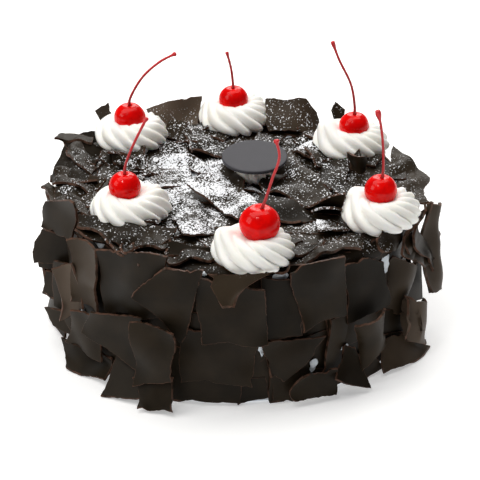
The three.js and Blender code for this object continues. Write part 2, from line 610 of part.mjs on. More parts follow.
const plaqueShape = (margin) => new THREE.CylinderGeometry(
  PLAQUE_RADIUS + margin, PLAQUE_RADIUS + margin, PLAQUE_THICK + 2 * margin, PLAQUE_SIDES,
).rotateX(Math.PI / 2);
const plaquePlace = (level) => new THREE.Matrix4().makeTranslation(...PLAQUE_CENTRE, level)
  .multiply(new THREE.Matrix4().makeRotationX(rad(PLAQUE_TILT)));
let plaqueLevel = PLAQUE_LEVEL;
let plaqueGuard = toSolid(plaqueShape(GAP).applyMatrix4(plaquePlace(plaqueLevel)));
while (placed.touches(plaqueGuard)) {
  plaqueLevel += SETTLE_STEP;
  plaqueGuard = toSolid(plaqueShape(GAP).applyMatrix4(plaquePlace(plaqueLevel)));
}
addMesh('plaque', plaqueShape(0), plaqueGrey, plaquePlace(plaqueLevel));

const centrePiped = toSolid(rosetteGeometry(CENTRE_ROSETTE, 0)
  .translate(...PLAQUE_CENTRE, CORE_HEIGHT + ROSETTE_LIFT));
addMesh('centre_rosette',
  toGeometry(largestPiece(centrePiped.subtract(allGuards).subtract(plaqueGuard))), cream);

export default cake;
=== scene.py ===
"""Looks of a black forest cake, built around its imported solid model.

The cream-coated cake is covered with broken sheets of dark chocolate. Six piped rosettes with
stemmed cherries stand round its top, and a plain disc lies near its middle on a small rosette.
Metres, +Z up; the front of the cake looks along -Y.
"""
import logging
import math
from collections.abc import Callable, Iterable, Mapping, Sequence
from dataclasses import dataclass, field, replace
from enum import Enum
from typing import Any

import bmesh
import bpy
from mathutils import Matrix, Vector, noise
from mathutils.bvhtree import BVHTree


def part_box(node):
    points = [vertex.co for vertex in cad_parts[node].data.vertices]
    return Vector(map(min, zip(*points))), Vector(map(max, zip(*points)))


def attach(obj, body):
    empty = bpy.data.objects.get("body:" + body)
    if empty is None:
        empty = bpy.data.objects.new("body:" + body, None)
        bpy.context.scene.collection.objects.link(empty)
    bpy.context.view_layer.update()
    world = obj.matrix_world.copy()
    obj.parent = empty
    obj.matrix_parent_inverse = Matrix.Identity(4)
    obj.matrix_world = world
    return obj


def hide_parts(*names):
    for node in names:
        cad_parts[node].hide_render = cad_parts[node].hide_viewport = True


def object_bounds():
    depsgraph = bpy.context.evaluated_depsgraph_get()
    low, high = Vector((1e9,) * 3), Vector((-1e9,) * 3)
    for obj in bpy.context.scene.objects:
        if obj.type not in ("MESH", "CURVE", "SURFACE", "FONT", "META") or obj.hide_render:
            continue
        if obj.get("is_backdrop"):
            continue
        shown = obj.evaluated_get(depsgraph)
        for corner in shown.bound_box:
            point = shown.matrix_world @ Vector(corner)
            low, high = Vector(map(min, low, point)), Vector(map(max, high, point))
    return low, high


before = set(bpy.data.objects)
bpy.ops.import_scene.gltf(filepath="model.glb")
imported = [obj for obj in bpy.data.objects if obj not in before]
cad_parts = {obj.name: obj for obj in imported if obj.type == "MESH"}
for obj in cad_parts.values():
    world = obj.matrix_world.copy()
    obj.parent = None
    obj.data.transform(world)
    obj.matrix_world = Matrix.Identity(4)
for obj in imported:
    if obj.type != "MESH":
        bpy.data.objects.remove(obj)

LOG = logging.getLogger("cake")
CAD_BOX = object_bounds()

MM = 0.001
BODY = "root"

# Driving dimensions, shared with the solids.
CORE_RADIUS = 97 * MM
CORE_HEIGHT = 82 * MM
CORE_ROUND = 5 * MM
CORE_FOOT = 1.5 * MM
SHEET_THICK = 1.4 * MM
SINK = 1.4 * MM
TOP_SINK = 2.4 * MM
LINING_SINK = 2.4 * MM
CREAM_BACK = 1.2 * MM         # the bare cream lies this far under the solid's surface
FLOOR_CLEAR = 0.4 * MM
ROSETTE_LIFT = 1.6 * MM

# Layers of numbers that the meshes carry.
EDGE_LAYER = "edge"           # 1 on a sheet's broken edge, 0 on its face
TONE_LAYER = "tone"           # a shade of its own for every sheet; set ones on some sheets paint light or shade
SUGAR_LAYER = "sugar"         # share of the surface that sugar covers


class Slot(Enum):
    """Material slots of the record."""

    BODY = "cream_and_chocolate"
    CHOCOLATE = "chocolate"
    CREAM = "cream"
    CHERRY = "cherry"
    PLAQUE = "plaque"


class Draw:
    """Repeatable draws, the same that the rows of pressed sheets were laid with."""

    def __init__(self, seed: int) -> None:
        """Starts the row of draws at a seed."""
        self.state = seed

    def share(self) -> float:
        """A number from 0 to 1."""
        self.state = (self.state * 1664525 + 1013904223) % 2**32
        return self.state / 2**32

    def spread(self, reach: float) -> float:
        """A number from -reach to reach."""
        return (self.share() * 2 - 1) * reach


# --------------------------------------------------------------------------- shader building


class Wire:
    """An output socket whose sums, differences and products add Math nodes."""

    def __init__(self, recipe: "Recipe", socket: bpy.types.NodeSocket) -> None:
        """Keeps the socket and the recipe that it belongs to."""
        self.recipe = recipe
        self.socket = socket

    def _math(self, operation: str, first: Any, second: Any) -> "Wire":
        """Adds one Math node."""
        return self.recipe.node("ShaderNodeMath", {"operation": operation}, {0: first, 1: second})

    def __add__(self, other: Any) -> "Wire":
        """Sum."""
        return self._math("ADD", self, other)

    __radd__ = __add__

    def __sub__(self, other: Any) -> "Wire":
        """Difference."""
        return self._math("SUBTRACT", self, other)

    def __rsub__(self, other: Any) -> "Wire":
        """Difference from a number."""
        return self._math("SUBTRACT", other, self)

    def __mul__(self, other: Any) -> "Wire":
        """Product."""
        return self._math("MULTIPLY", self, other)

    __rmul__ = __mul__

    def over(self, low: Any, high: Any) -> "Wire":
        """Rises smoothly from 0 at low to 1 at high."""
        return self.recipe.node(
            "ShaderNodeMapRange",
            {"interpolation_type": "SMOOTHSTEP"},
            {"Value": self, "From Min": low, "From Max": high},
        )


class Recipe:
    """A material's node tree and the one way in which nodes are added to it."""

    def __init__(self, name: str) -> None:
        """Starts an empty tree for the material of that name."""
        self.material = bpy.data.materials.new(name)
        self.material.use_nodes = True
        self.tree = self.material.node_tree
        self.tree.nodes.clear()
        self.place = self.node("ShaderNodeTexCoord", output="Object")

    def node(
        self,
        kind: str,
        settings: Mapping[str, Any] | None = None,
        values: Mapping[str | int, Any] | None = None,
        output: str | int | None = 0,
    ) -> Wire | None:
        """Adds a node.

        Args:
            kind: Blender's type of the node.
            settings: Properties of the node, set before its sockets.
            values: Numbers, colours or wires by the name or number of the socket.
            output: Name or number of the socket that is handed back, None for no socket.

        Returns:
            The wire of that output.
        """
        made = self.tree.nodes.new(kind)
        for name, value in (settings or {}).items():
            setattr(made, name, value)
        for name, value in (values or {}).items():
            socket = self._open(made.inputs, name)
            if isinstance(value, Wire):
                self.tree.links.new(value.socket, socket)
            else:
                socket.default_value = value
        return None if output is None else Wire(self, self._open(made.outputs, output))

    @staticmethod
    def _open(sockets: Iterable[bpy.types.NodeSocket], name: str | int) -> bpy.types.NodeSocket:
        """Finds the usable socket of that name, or of that number among the usable ones."""
        usable = [socket for socket in sockets if socket.enabled]
        if isinstance(name, int):
            return usable[name]
        return next(socket for socket in usable if socket.name == name)

    def noise(self, size: float, detail: float = 2.0, place: Wire | None = None) -> Wire:
        """Cloudy values round one half, in blots of about that size in metres."""
        values = {"Vector": place or self.place, "Scale": 1 / size, "Detail": detail}
        return self.node("ShaderNodeTexNoise", {"normalize": True}, values, "Fac")

    def stretched(self, scale: Sequence[float]) -> Wire:
        """The place on the piece, scaled along each axis."""
        values = {"Vector": self.place, "Scale": scale}
        return self.node("ShaderNodeMapping", {"vector_type": "POINT"}, values, "Vector")

    def layer(self, name: str) -> Wire:
        """Reads a layer of numbers that the mesh carries."""
        settings = {"attribute_type": "GEOMETRY", "attribute_name": name}
        return self.node("ShaderNodeAttribute", settings, output="Fac")

    def mix(self, share: Any, first: Any, second: Any) -> Wire:
        """Goes from the first colour to the second as the share goes from 0 to 1."""
        values = {0: share, "A": first, "B": second}
        return self.node("ShaderNodeMix", {"data_type": "RGBA"}, values, "Result")

    def upward(self) -> Wire:
        """Height of the surface's normal: 1 where it faces up, 0 on a wall."""
        normal = self.node("ShaderNodeNewGeometry", output="Normal")
        return self.node("ShaderNodeSeparateXYZ", values={"Vector": normal}, output="Z")

    def bump(self, height: Wire, strength: float, distance: float) -> Wire:
        """Bends the normal by a height."""
        values = {"Height": height, "Strength": strength, "Distance": distance}
        return self.node("ShaderNodeBump", values=values, output="Normal")

    def surface(self, values: Mapping[str, Any]) -> bpy.types.Material:
        """Ends the tree in a Principled shader with these values and hands back the material."""
        shader = self.node("ShaderNodeBsdfPrincipled", values=values)
        self.node("ShaderNodeOutputMaterial", values={"Surface": shader}, output=None)
        return self.material


# --------------------------------------------------------------------------- finishes


@dataclass(frozen=True)
class ChocolateFinish:
    """Thin dark chocolate: satin, a shade apart from sheet to sheet, paler where it broke. Set tones
    on some sheets paint light and shade.
    """

    name: str = "dark_chocolate"
    deep: tuple[float, ...] = (0.0084, 0.0056, 0.0026, 1)
    light: tuple[float, ...] = (0.0275, 0.0182, 0.0098, 1)
    # painted light: the paler brown given to sheets whose set tone is above 1
    painted_light: tuple[float, ...] = (0.090, 0.066, 0.048, 1)
    broken: tuple[float, ...] = (0.092, 0.046, 0.030, 1)
    sugar: tuple[float, ...] = (0.86, 0.88, 0.92, 1)
    gloss: float = 0.36
    cloud: float = 18 * MM
    grain: float = 0.55 * MM
    sugar_grain: float = 1.0 * MM
    sugar_clump: float = 4.5 * MM

    def make(self) -> bpy.types.Material:
        """Builds the material."""
        recipe = Recipe(self.name)
        cloud = recipe.noise(self.cloud, 3.0)
        grain = recipe.noise(self.grain, 1.0)
        shade = cloud.over(0.3, 0.7) * 0.45 + recipe.layer(TONE_LAYER) * 0.55
        edge = recipe.layer(EDGE_LAYER) * recipe.noise(3.5 * MM).over(0.3, 0.6)
        # grains show where the fine noise passes a level that falls as the sugar gets thicker
        cover = recipe.layer(SUGAR_LAYER) * recipe.upward().over(0.15, 0.6)
        clump = recipe.noise(self.sugar_clump, 1.0)
        level = 0.70 - cover * 0.29 - (clump - 0.5) * 0.35
        speck = recipe.noise(self.sugar_grain, 1.0)
        sugar = speck.over(level - 0.05, level + 0.06) * cover.over(0.0, 0.06)
        # painted light: set tones above 1 mix in a paler brown that stands in for more light; set
        # tones below 0 paint shade as the deep colour, with rougher gloss
        painted_light = recipe.layer(TONE_LAYER).over(1.0, 2.0) * (cloud * 0.6 + 0.7)
        matt = (1 - recipe.layer(TONE_LAYER)).over(1.0, 2.0) * 0.5
        dark = recipe.mix(painted_light, recipe.mix(shade, self.deep, self.light), self.painted_light)
        colour = recipe.mix(sugar, recipe.mix(edge, dark, self.broken), self.sugar)
        return recipe.surface({
            "Base Color": colour,
            "Roughness": self.gloss + grain * 0.10 + cloud * 0.08 + sugar * 0.45 + matt,
            "Specular IOR Level": 0.11,
            "Normal": recipe.bump(grain * 0.25 + sugar * 1.5, 0.5, 0.25 * MM),
        })


@dataclass(frozen=True)
class CreamFinish:
    """Whipped cream: soft, nearly white, with a faint grain."""

    name: str
    colour: tuple[float, ...]
    hollow: tuple[float, ...]
    soft: float = 0.35

    def make(self) -> bpy.types.Material:
        """Builds the material."""
        recipe = Recipe(self.name)
        cloud = recipe.noise(9 * MM, 3.0)
        grain = recipe.noise(0.7 * MM, 2.0)
        return recipe.surface({
            "Base Color": recipe.mix(cloud.over(0.35, 0.75), self.colour, self.hollow),
            "Roughness": 0.42 + grain * 0.2,
            "Specular IOR Level": 0.35,
            "Subsurface Weight": self.soft,
            "Subsurface Radius": (1.0, 0.85, 0.7),
            "Subsurface Scale": 3 * MM,
            "Normal": recipe.bump(grain + cloud * 2, 0.25, 0.2 * MM),
        })


@dataclass(frozen=True)
class CherryFinish:
    """Preserved cherry: a wet, glassy skin over deep red flesh."""

    name: str = "cherry_red"
    bright: tuple[float, ...] = (0.84, 0.001, 0.0, 1)
    deep: tuple[float, ...] = (0.68, 0.0, 0.0, 1)

    def make(self) -> bpy.types.Material:
        """Builds the material."""
        recipe = Recipe(self.name)
        cloud = recipe.noise(6 * MM, 2.0)
        pores = recipe.noise(1.2 * MM, 1.0)
        return recipe.surface({
            "Base Color": recipe.mix(cloud.over(0.35, 0.65), self.bright, self.deep),
            "Roughness": 0.22 + cloud * 0.06,
            "Specular IOR Level": 0.06,
            "Coat Weight": 0.25,
            "Coat Roughness": 0.06,
            "Subsurface Weight": 0.08,
            "Subsurface Radius": (1.0, 0.12, 0.08),
            "Subsurface Scale": 0.8 * MM,
            "Normal": recipe.bump(cloud * 3 + pores * 0.4, 0.25, 0.3 * MM),
        })


@dataclass(frozen=True)
class StemFinish:
    """A cherry's stem: darker, drier red that pales towards its end."""

    name: str = "cherry_stem"
    root: tuple[float, ...] = (0.40, 0.005, 0.007, 1)
    tip: tuple[float, ...] = (0.62, 0.012, 0.018, 1)

    def make(self) -> bpy.types.Material:
        """Builds the material."""
        recipe = Recipe(self.name)
        fibre = recipe.noise(0.8 * MM, 2.0, recipe.stretched((1, 1, 0.15)))
        share = recipe.layer(TONE_LAYER) + (fibre - 0.5) * 0.6
        return recipe.surface({
            "Base Color": recipe.mix(share.over(0.0, 1.0), self.root, self.tip),
            "Roughness": 0.25 + fibre * 0.2,
            "Normal": recipe.bump(fibre, 0.4, 0.2 * MM),
        })


@dataclass(frozen=True)
class DiscFinish:
    """Smooth grey icing, a little mottled."""

    name: str = "plain_grey_disc"
    face: tuple[float, ...] = (0.055, 0.054, 0.062, 1)
    cloudy: tuple[float, ...] = (0.063, 0.062, 0.071, 1)

    def make(self) -> bpy.types.Material:
        """Builds the material."""
        recipe = Recipe(self.name)
        cloud = recipe.noise(7 * MM, 3.0)
        grain = recipe.noise(0.5 * MM, 1.0)
        return recipe.surface({
            "Base Color": recipe.mix(cloud, self.face, self.cloudy),
            "Roughness": 0.5 + grain * 0.15,
            "Specular IOR Level": 0.15,
            "Normal": recipe.bump(grain, 0.15, 0.1 * MM),
        })


@dataclass(frozen=True)
class SugarFinish:
    """A grain of icing sugar."""

    name: str = "icing_sugar"
    white: tuple[float, ...] = (0.90, 0.91, 0.93, 1)
    shaded: tuple[float, ...] = (0.74, 0.76, 0.80, 1)

    def make(self) -> bpy.types.Material:
        """Builds the material."""
        recipe = Recipe(self.name)
        cloud = recipe.noise(1.5 * MM, 1.0)
        return recipe.surface({
            "Base Color": recipe.mix(cloud.over(0.3, 0.7), self.shaded, self.white),
            "Roughness": 0.8 + cloud * 0.1,
        })


@dataclass(frozen=True)
class TableFinish:
    """The pale, matt surface that the cake stands on."""

    name: str = "pale_table"
    pale: tuple[float, ...] = (0.86, 0.86, 0.87, 1)
    paler: tuple[float, ...] = (0.88, 0.88, 0.88, 1)
    glow: float = 0.36

    def make(self) -> bpy.types.Material:
        """Builds the material."""
        recipe = Recipe(self.name)
        return recipe.surface({
            "Base Color": recipe.mix(recipe.noise(0.4, 2.0), self.pale, self.paler),
            "Roughness": 0.9,
            "Specular IOR Level": 0.1,
            "Emission Color": (1, 1, 1, 1),
            "Emission Strength": self.glow,
        })


# --------------------------------------------------------------------------- pieces


def add_piece(
    name: str,
    shape: bmesh.types.BMesh,
    material: bpy.types.Material,
    slot: Slot,
    nodes: Sequence[str] = (),
) -> bpy.types.Object:
    """Args:
        name: The piece's name.
        shape: Its shape in the cake's own frame; it is freed here.
        material: Its material.
        slot: The record's slot of that material; not used.
        nodes: The solids that the piece stands for.

    Returns:
        The object, at the origin.
    """
    mesh = bpy.data.meshes.new(name)
    shape.to_mesh(mesh)
    shape.free()
    mesh.shade_smooth()
    mesh.materials.append(material)
    piece = bpy.data.objects.new(name, mesh)
    bpy.context.scene.collection.objects.link(piece)
    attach(piece, BODY)
    if nodes:
        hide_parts(*nodes)
    LOG.info("%s: %d faces for %s", name, len(mesh.polygons), ", ".join(nodes) or "no solid")
    return piece


def add_turned_form(
    shape: bmesh.types.BMesh, around: int, along: int, place: Callable[[float, float], Vector]
) -> list[bmesh.types.BMVert]:
    """Adds a closed round form: a sphere's net, moved to where a rule says.

    Args:
        shape: The mesh that it is added to.
        around: Faces round the form.
        along: Faces from its top to its underside.
        place: Gives the place for an angle and a share, from 0 at the top to 1 at the underside.

    Returns:
        The new vertices.
    """
    made = bmesh.ops.create_uvsphere(shape, u_segments=around, v_segments=along, radius=1.0)
    for vert in made["verts"]:
        share = math.acos(max(-1.0, min(1.0, vert.co.z))) / math.pi
        vert.co = place(math.atan2(vert.co.y, vert.co.x), share)
    return made["verts"]


def smooth_between(points: Sequence[Vector], share: float) -> Vector:
    """Point of a smooth line through the points, at a share of its way from 0 to 1."""
    spans = len(points) - 1
    at = min(int(share * spans), spans - 1)
    step = share * spans - at
    before = points[at - 1] if at else points[0] * 2 - points[1]
    after = points[at + 2] if at + 2 <= spans else points[spans] * 2 - points[spans - 1]
    leave = (points[at + 1] - before) / 2
    arrive = (after - points[at]) / 2
    gap = points[at + 1] - points[at]
    curve = gap * 3 - leave * 2 - arrive
    bend = leave + arrive - gap * 2
    return points[at] + leave * step + curve * step**2 + bend * step**3


def through(values: Sequence[Vector], share: float) -> Vector:
    """Value at a share from -1 to 1 on the polynomial through evenly spaced values."""
    last = len(values) - 1
    spots = [2 * index / last - 1 for index in range(last + 1)]
    total = values[0] * 0
    for index, value in enumerate(values):
        weight = 1.0
        for other in range(last + 1):
            if other != index:
                weight *= (share - spots[other]) / (spots[index] - spots[other])
        total = total + value * weight
    return total


# --------------------------------------------------------------------------- chocolate sheets

Net = list[list[Vector]]          # rows of points over a face
Corners = tuple[tuple[float, float], ...]


@dataclass(frozen=True)
class Breakage:
    """How a broken sheet departs from its plain outline and its plain bend."""

    sway: float = 0.9 * MM        # long waves of the edge
    sway_length: float = 12 * MM
    jag: float = 0.4 * MM         # short teeth of the edge
    jag_length: float = 1.9 * MM
    bite: float = 3.0 * MM        # pieces broken out of the edge
    bite_length: float = 8 * MM
    bite_level: float = 0.32
    ripple: float = 0.55 * MM     # waves of the face
    ripple_length: float = 17 * MM
    curl: float = 1.0 * MM        # lift of the corners
    front: float = 0.0            # lift of the edge that lies to the front
    bow: float = 0.0              # how far the two upright edges bend back
    rim: float = 0.45 * MM        # strip of the face that shows the colour of the edge
    cell: float = 1.25 * MM


class SheetSurface:
    """The smooth face of a sheet, through a net of points, with its breakage."""

    def __init__(self, net: Sequence[Sequence[Vector]], outward: Vector, wear: Breakage,
                 seed: int) -> None:
        """Takes the net and turns it so that the face looks outward.

        Args:
            net: Rows of points over the face.
            outward: The way that the face looks.
            wear: The breakage.
            seed: Number that makes this sheet's breakage its own.
        """
        self.net = [list(row) for row in net]
        self.wear = wear
        self.seed = Vector((seed * 3.7, seed * 1.3, seed * 7.1))
        if self._normal(0, 0).dot(outward) < 0:
            self.net = [row[::-1] for row in self.net]
        self.lowest = max(1.8 * MM, min(point.z for row in self.net for point in row))
        ways = (self._smooth(1, 0) - self._smooth(-1, 0), self._smooth(0, 1) - self._smooth(0, -1))
        self.to_front = Vector([-way.normalized().y for way in ways]).normalized()
        self.width = (self._smooth(1, 0) - self._smooth(-1, 0)).length
        self.height = (self._smooth(0, 1) - self._smooth(0, -1)).length
        draw = Draw(seed * 977 + 13)
        self.lifts = [draw.share() for _corner in range(4)]
        self.tone = draw.share()

    def _smooth(self, u: float, v: float) -> Vector:
        """Point of the plain face; u and v run from -1 to 1."""
        return through([through(row, u) for row in self.net], v)

    def _normal(self, u: float, v: float) -> Vector:
        """Normal of the plain face."""
        probe = 0.02
        across = self._smooth(u + probe, v) - self._smooth(u - probe, v)
        along = self._smooth(u, v + probe) - self._smooth(u, v - probe)
        return across.cross(along).normalized()

    def _edge_shift(self, side: int, along: float) -> float:
        """How far an edge is pushed out, at a distance along it."""
        wear = self.wear
        start = self.seed + Vector((side * 19.0, 0, 0))
        wave = noise.noise(start + Vector((0, along / wear.sway_length, 0)))
        tooth = noise.noise(start + Vector((5, along / wear.jag_length, 0)))
        bite = noise.noise(start + Vector((11, along / wear.bite_length, 0))) - wear.bite_level
        return wear.sway * wave + wear.jag * tooth - wear.bite * max(0.0, bite)

    def point(self, u: float, v: float) -> Vector:
        """Point of the broken, rippled face."""
        wear = self.wear
        shift_u = self._edge_shift(1 if u > 0 else 2, v * self.height / 2) * 2 / self.width
        shift_v = self._edge_shift(3 if v > 0 else 4, u * self.width / 2) * 2 / self.height
        broken_u = u + math.copysign(abs(u) ** 3, u) * shift_u
        broken_v = v + math.copysign(abs(v) ** 3, v) * shift_v
        plain = self._smooth(broken_u, broken_v)
        ripple = wear.ripple * noise.noise(plain / wear.ripple_length + self.seed)
        corner = self.lifts[(u > 0) * 2 + (v > 0)] * wear.curl
        ahead = max(0.0, Vector((u, v)).dot(self.to_front))
        lift = ripple + corner * (u * v) ** 2 * 1.2 - wear.bow * u * u
        lift += wear.front * self.lifts[0] * ahead**3
        return plain + self._normal(u, v) * lift

    def add_to(self, shape: bmesh.types.BMesh) -> None:
        """Adds the face to a mesh, with its edge and its tone."""
        columns = max(6, round(self.width / self.wear.cell))
        rows = max(6, round(self.height / self.wear.cell))
        edge = shape.verts.layers.float.get(EDGE_LAYER) \
            or shape.verts.layers.float.new(EDGE_LAYER)
        tone = shape.verts.layers.float.get(TONE_LAYER) \
            or shape.verts.layers.float.new(TONE_LAYER)
        made = bmesh.ops.create_grid(shape, x_segments=columns, y_segments=rows, size=1.0)
        for vert in made["verts"]:
            outer = max(abs(vert.co.x), abs(vert.co.y)) > 1 - 1e-4
            u = self._rimmed(vert.co.x, columns, self.width)
            v = self._rimmed(vert.co.y, rows, self.height)
            vert[edge] = 1.0 if outer else 0.0
            vert[tone] = self.tone
            vert.co = self.point(u, v)
            vert.co.z = max(vert.co.z, self.lowest)

    def _rimmed(self, share: float, cells: int, length: float) -> float:
        """Moves the second line of the net out to the rim, and spreads the others evenly."""
        step = round((share + 1) / 2 * cells)
        rim = 2 * self.wear.rim / length
        if step in (0, cells):
            return -1.0 if step == 0 else 1.0
        return -1 + rim + (2 - 2 * rim) * (step - 1) / (cells - 2)


def outer_face(shape: bmesh.types.BMesh, outward: Vector) -> list[bmesh.types.BMFace]:
    """The faces of a thin sheet's broad side that looks outward.

    Args:
        shape: The sheet's closed mesh.
        outward: The way to look.

    Returns:
        Its faces.
    """
    sharp = math.radians(50)
    left = set(shape.faces)
    sides: list[list[bmesh.types.BMFace]] = []
    while left:
        side = [left.pop()]
        for face in side:
            for edge in face.edges:
                if edge.calc_face_angle() < sharp:
                    near = [other for other in edge.link_faces if other in left]
                    left.difference_update(near)
                    side.extend(near)
        sides.append(side)
    broad = sorted(sides, key=lambda side: -sum(face.calc_area() for face in side))[:2]
    return max(broad, key=lambda side: facing(side).dot(outward))


def facing(side: Sequence[bmesh.types.BMFace]) -> Vector:
    """The way that faces look, weighed by their size."""
    return sum((face.normal * face.calc_area() for face in side), Vector())


def packed_net(node: str) -> tuple[Net, Vector]:
    """Reads the net of points of a packed sheet's outer face.

    Args:
        node: The sheet's solid.

    Returns:
        Rows of points, and the way that the face looks.
    """
    shape = bmesh.new()
    shape.from_mesh(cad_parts[node].data)
    bmesh.ops.remove_doubles(shape, verts=shape.verts[:], dist=1e-6)
    low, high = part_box(node)
    beside = node.startswith("side")
    outward = Vector((*(low + high).xy, 0)).normalized() if beside else Vector((0, 0, 1))
    side = outer_face(shape, outward)
    inside = set(side)
    loop = walk_round([edge for face in side for edge in face.edges
                       if any(other not in inside for other in edge.link_faces)])
    count = len(loop)
    rows = 2
    columns = count // 2 - rows
    corners = (0, columns, columns + rows, 2 * columns + rows)
    first = max(range(count), key=lambda at: sum(turning(loop, at + corner) for corner in corners))

    def line(steps: Iterable[int]) -> list[Vector]:
        """Points of the border at these steps from the first corner."""
        return [loop[(first + step) % count].co.copy() for step in steps]

    bottom = line(range(columns + 1))
    top = line(range(2 * columns + rows, columns + rows - 1, -1))
    middle = line([-1])
    inner = [vert.co.copy() for vert in {v for face in side for v in face.verts} - set(loop)]
    for column in range(1, columns):
        guess = (bottom[column] + top[column]) / 2
        middle.append(min(inner, key=lambda place: (place - guess).length))
    middle += line([columns + 1])
    look = facing(side).normalized()
    shape.free()
    return [bottom, middle, top], look


def walk_round(border: Sequence[bmesh.types.BMEdge]) -> list[bmesh.types.BMVert]:
    """The vertices of a closed border, in order."""
    near: dict[bmesh.types.BMVert, list[bmesh.types.BMVert]] = {}
    for edge in border:
        first, second = edge.verts
        near.setdefault(first, []).append(second)
        near.setdefault(second, []).append(first)
    start = min(near, key=lambda vert: tuple(round(value, 6) for value in vert.co))
    loop = [start, min(near[start], key=lambda vert: tuple(round(v, 6) for v in vert.co))]
    while True:
        following = [vert for vert in near[loop[-1]] if vert is not loop[-2]][0]
        if following is start:
            return loop
        loop.append(following)


def turning(loop: Sequence[bmesh.types.BMVert], at: int) -> float:
    """Angle by which a border turns at one of its vertices."""
    before, here, after = (loop[(at + step) % len(loop)].co for step in (-1, 0, 1))
    return (here - before).angle(after - here)


@dataclass(frozen=True)
class PressedSheet:
    """A sheet pressed into the cream. Lengths in millimetres, angles in degrees.

    Its corners run from the upper left clockwise. The bow is how far its edges swell out: top,
    right, bottom, left. On the side its spot is azimuth and level, on the top x and y.
    """

    spot: tuple[float, float]
    lean: float
    turn: float
    across: float
    corners: Corners
    bow: tuple[float, float, float, float] = (0, 0, 0, 0)
    roll: float = 0.0
    on_top: bool = False

    def _middle(self, u: float, v: float) -> Vector:
        """Point of the middle surface, in the sheet's own frame."""
        left_up, right_up, right_down, left_down = (Vector(corner) for corner in self.corners)
        top, right, bottom, left = self.bow
        flat = ((left_up * (1 - u) + right_up * (1 + u)) * (1 + v)
                + (left_down * (1 - u) + right_down * (1 + u)) * (1 - v)) / 4
        flat.x += (right * (1 + u) - left * (1 - u)) * (1 - v * v) / 2
        flat.y += (top * (1 + v) - bottom * (1 - v)) * (1 - u * u) / 2
        places = [corner[0] for corner in self.corners]
        bend = (max(places) - min(places)) / 2 / math.radians(self.across)
        fall = bend * (math.cos(flat.x / bend) - 1)
        return Vector((bend * math.sin(flat.x / bend), flat.y, fall)) * MM

    def _face(self, stand: Matrix, offset: float) -> Net:
        """Net of points at an offset from the middle surface."""
        probe = 0.02
        net = []
        for v in (-1, 0, 1):
            line = []
            for u in (-1, 0, 1):
                across = self._middle(u + probe, v) - self._middle(u - probe, v)
                along = self._middle(u, v + probe) - self._middle(u, v - probe)
                place = self._middle(u, v) + across.cross(along).normalized() * offset
                line.append(stand @ place)
            net.append(line)
        return net

    def _turned(self) -> Matrix:
        """How the sheet is turned in its own frame."""
        return (
            Matrix.Rotation(math.radians(self.lean), 4, "X")
            @ Matrix.Rotation(-math.radians(self.turn), 4, "Y")
            @ Matrix.Rotation(math.radians(self.roll), 4, "Z")
        )

    def _points(self, stand: Matrix) -> list[Vector]:
        """Points of both faces."""
        return [point for side in (0.5, -0.5) for line in self._face(stand, side * SHEET_THICK)
                for point in line]

    def net(self, sink: float) -> tuple[Net, Vector]:
        """Presses the sheet into the cream.

        Args:
            sink: How deep its innermost corner goes, in metres.

        Returns:
            Net of the outer face, and the way that it looks.
        """
        if self.on_top:
            turned = Matrix.Translation((self.spot[0] * MM, self.spot[1] * MM, 0)) @ self._turned()
            least = min(point.z for point in self._points(turned))
            stand = Matrix.Translation((0, 0, CORE_HEIGHT - sink - least)) @ turned
        else:
            angle = math.radians(self.spot[0])
            outward = Vector((math.cos(angle), math.sin(angle), 0))
            basis = Matrix((Vector((-outward.y, outward.x, 0)), Vector((0, 0, 1)), outward))
            turned = basis.transposed().to_4x4() @ self._turned()
            lift = Matrix.Translation((0, 0, self.spot[1] * MM))
            points = self._points(lift @ Matrix.Translation(outward * CORE_RADIUS) @ turned)
            short = max(0.0, FLOOR_CLEAR - min(point.z for point in points))
            least = min(point.xy.length for point in points)
            place = outward * (2 * CORE_RADIUS - sink - least) + Vector((0, 0, short))
            stand = lift @ Matrix.Translation(place) @ turned
        return self._face(stand, SHEET_THICK / 2), stand.to_3x3() @ Vector((0, 0, 1))


@dataclass(frozen=True)
class SheetRow:
    """A row of pressed sheets round the side, or over the back alone."""

    level: float
    count: int
    first: float
    lean: float
    loose: float = 2.0            # spread of the lean
    turn: float = 2.0             # spread of the turn
    reach: float = 360.0
    width: float = 44.0
    height: float = 34.0
    bend: float = 13.0

    def sheets(self, draw: Draw) -> list[PressedSheet]:
        """Lays the row, with its draws in the order of the solids' rows."""
        pitch = self.reach / (self.count - (self.reach < 360))
        laid = []
        for place in range(self.count):
            spot = (self.first + pitch * place + draw.spread(3), self.level + draw.spread(2))
            half_width = (self.width + draw.spread(3)) / 2
            half_height = (self.height + draw.spread(3)) / 2
            roll = draw.spread(8)
            lean = self.lean + draw.spread(self.loose)
            turn = draw.spread(self.turn)
            outline = OUTLINES[math.floor(draw.share() * len(OUTLINES))]
            corners = tuple((x * half_width, y * half_height) for x, y in outline)
            laid.append(PressedSheet(spot, lean, turn, self.bend, corners, roll=roll))
        return laid


RULE_SEED = 51
# Corners of the rows' sheets, in halves of the width and the height.
OUTLINES = (
    ((-1, 0.94), (0.95, 1), (1, -0.96), (-0.94, -1)),
    ((-0.7, 1), (1, 0.82), (0.82, -1), (-1, -0.72)),
    ((-1, 0.8), (0.72, 1), (1, -0.75), (-0.8, -1)),
    ((-0.8, 1), (0.8, 0.94), (1, -0.92), (-1, -1)),
    ((-0.9, 1), (0.75, 0.8), (1, -0.7), (-0.8, -1)),
)


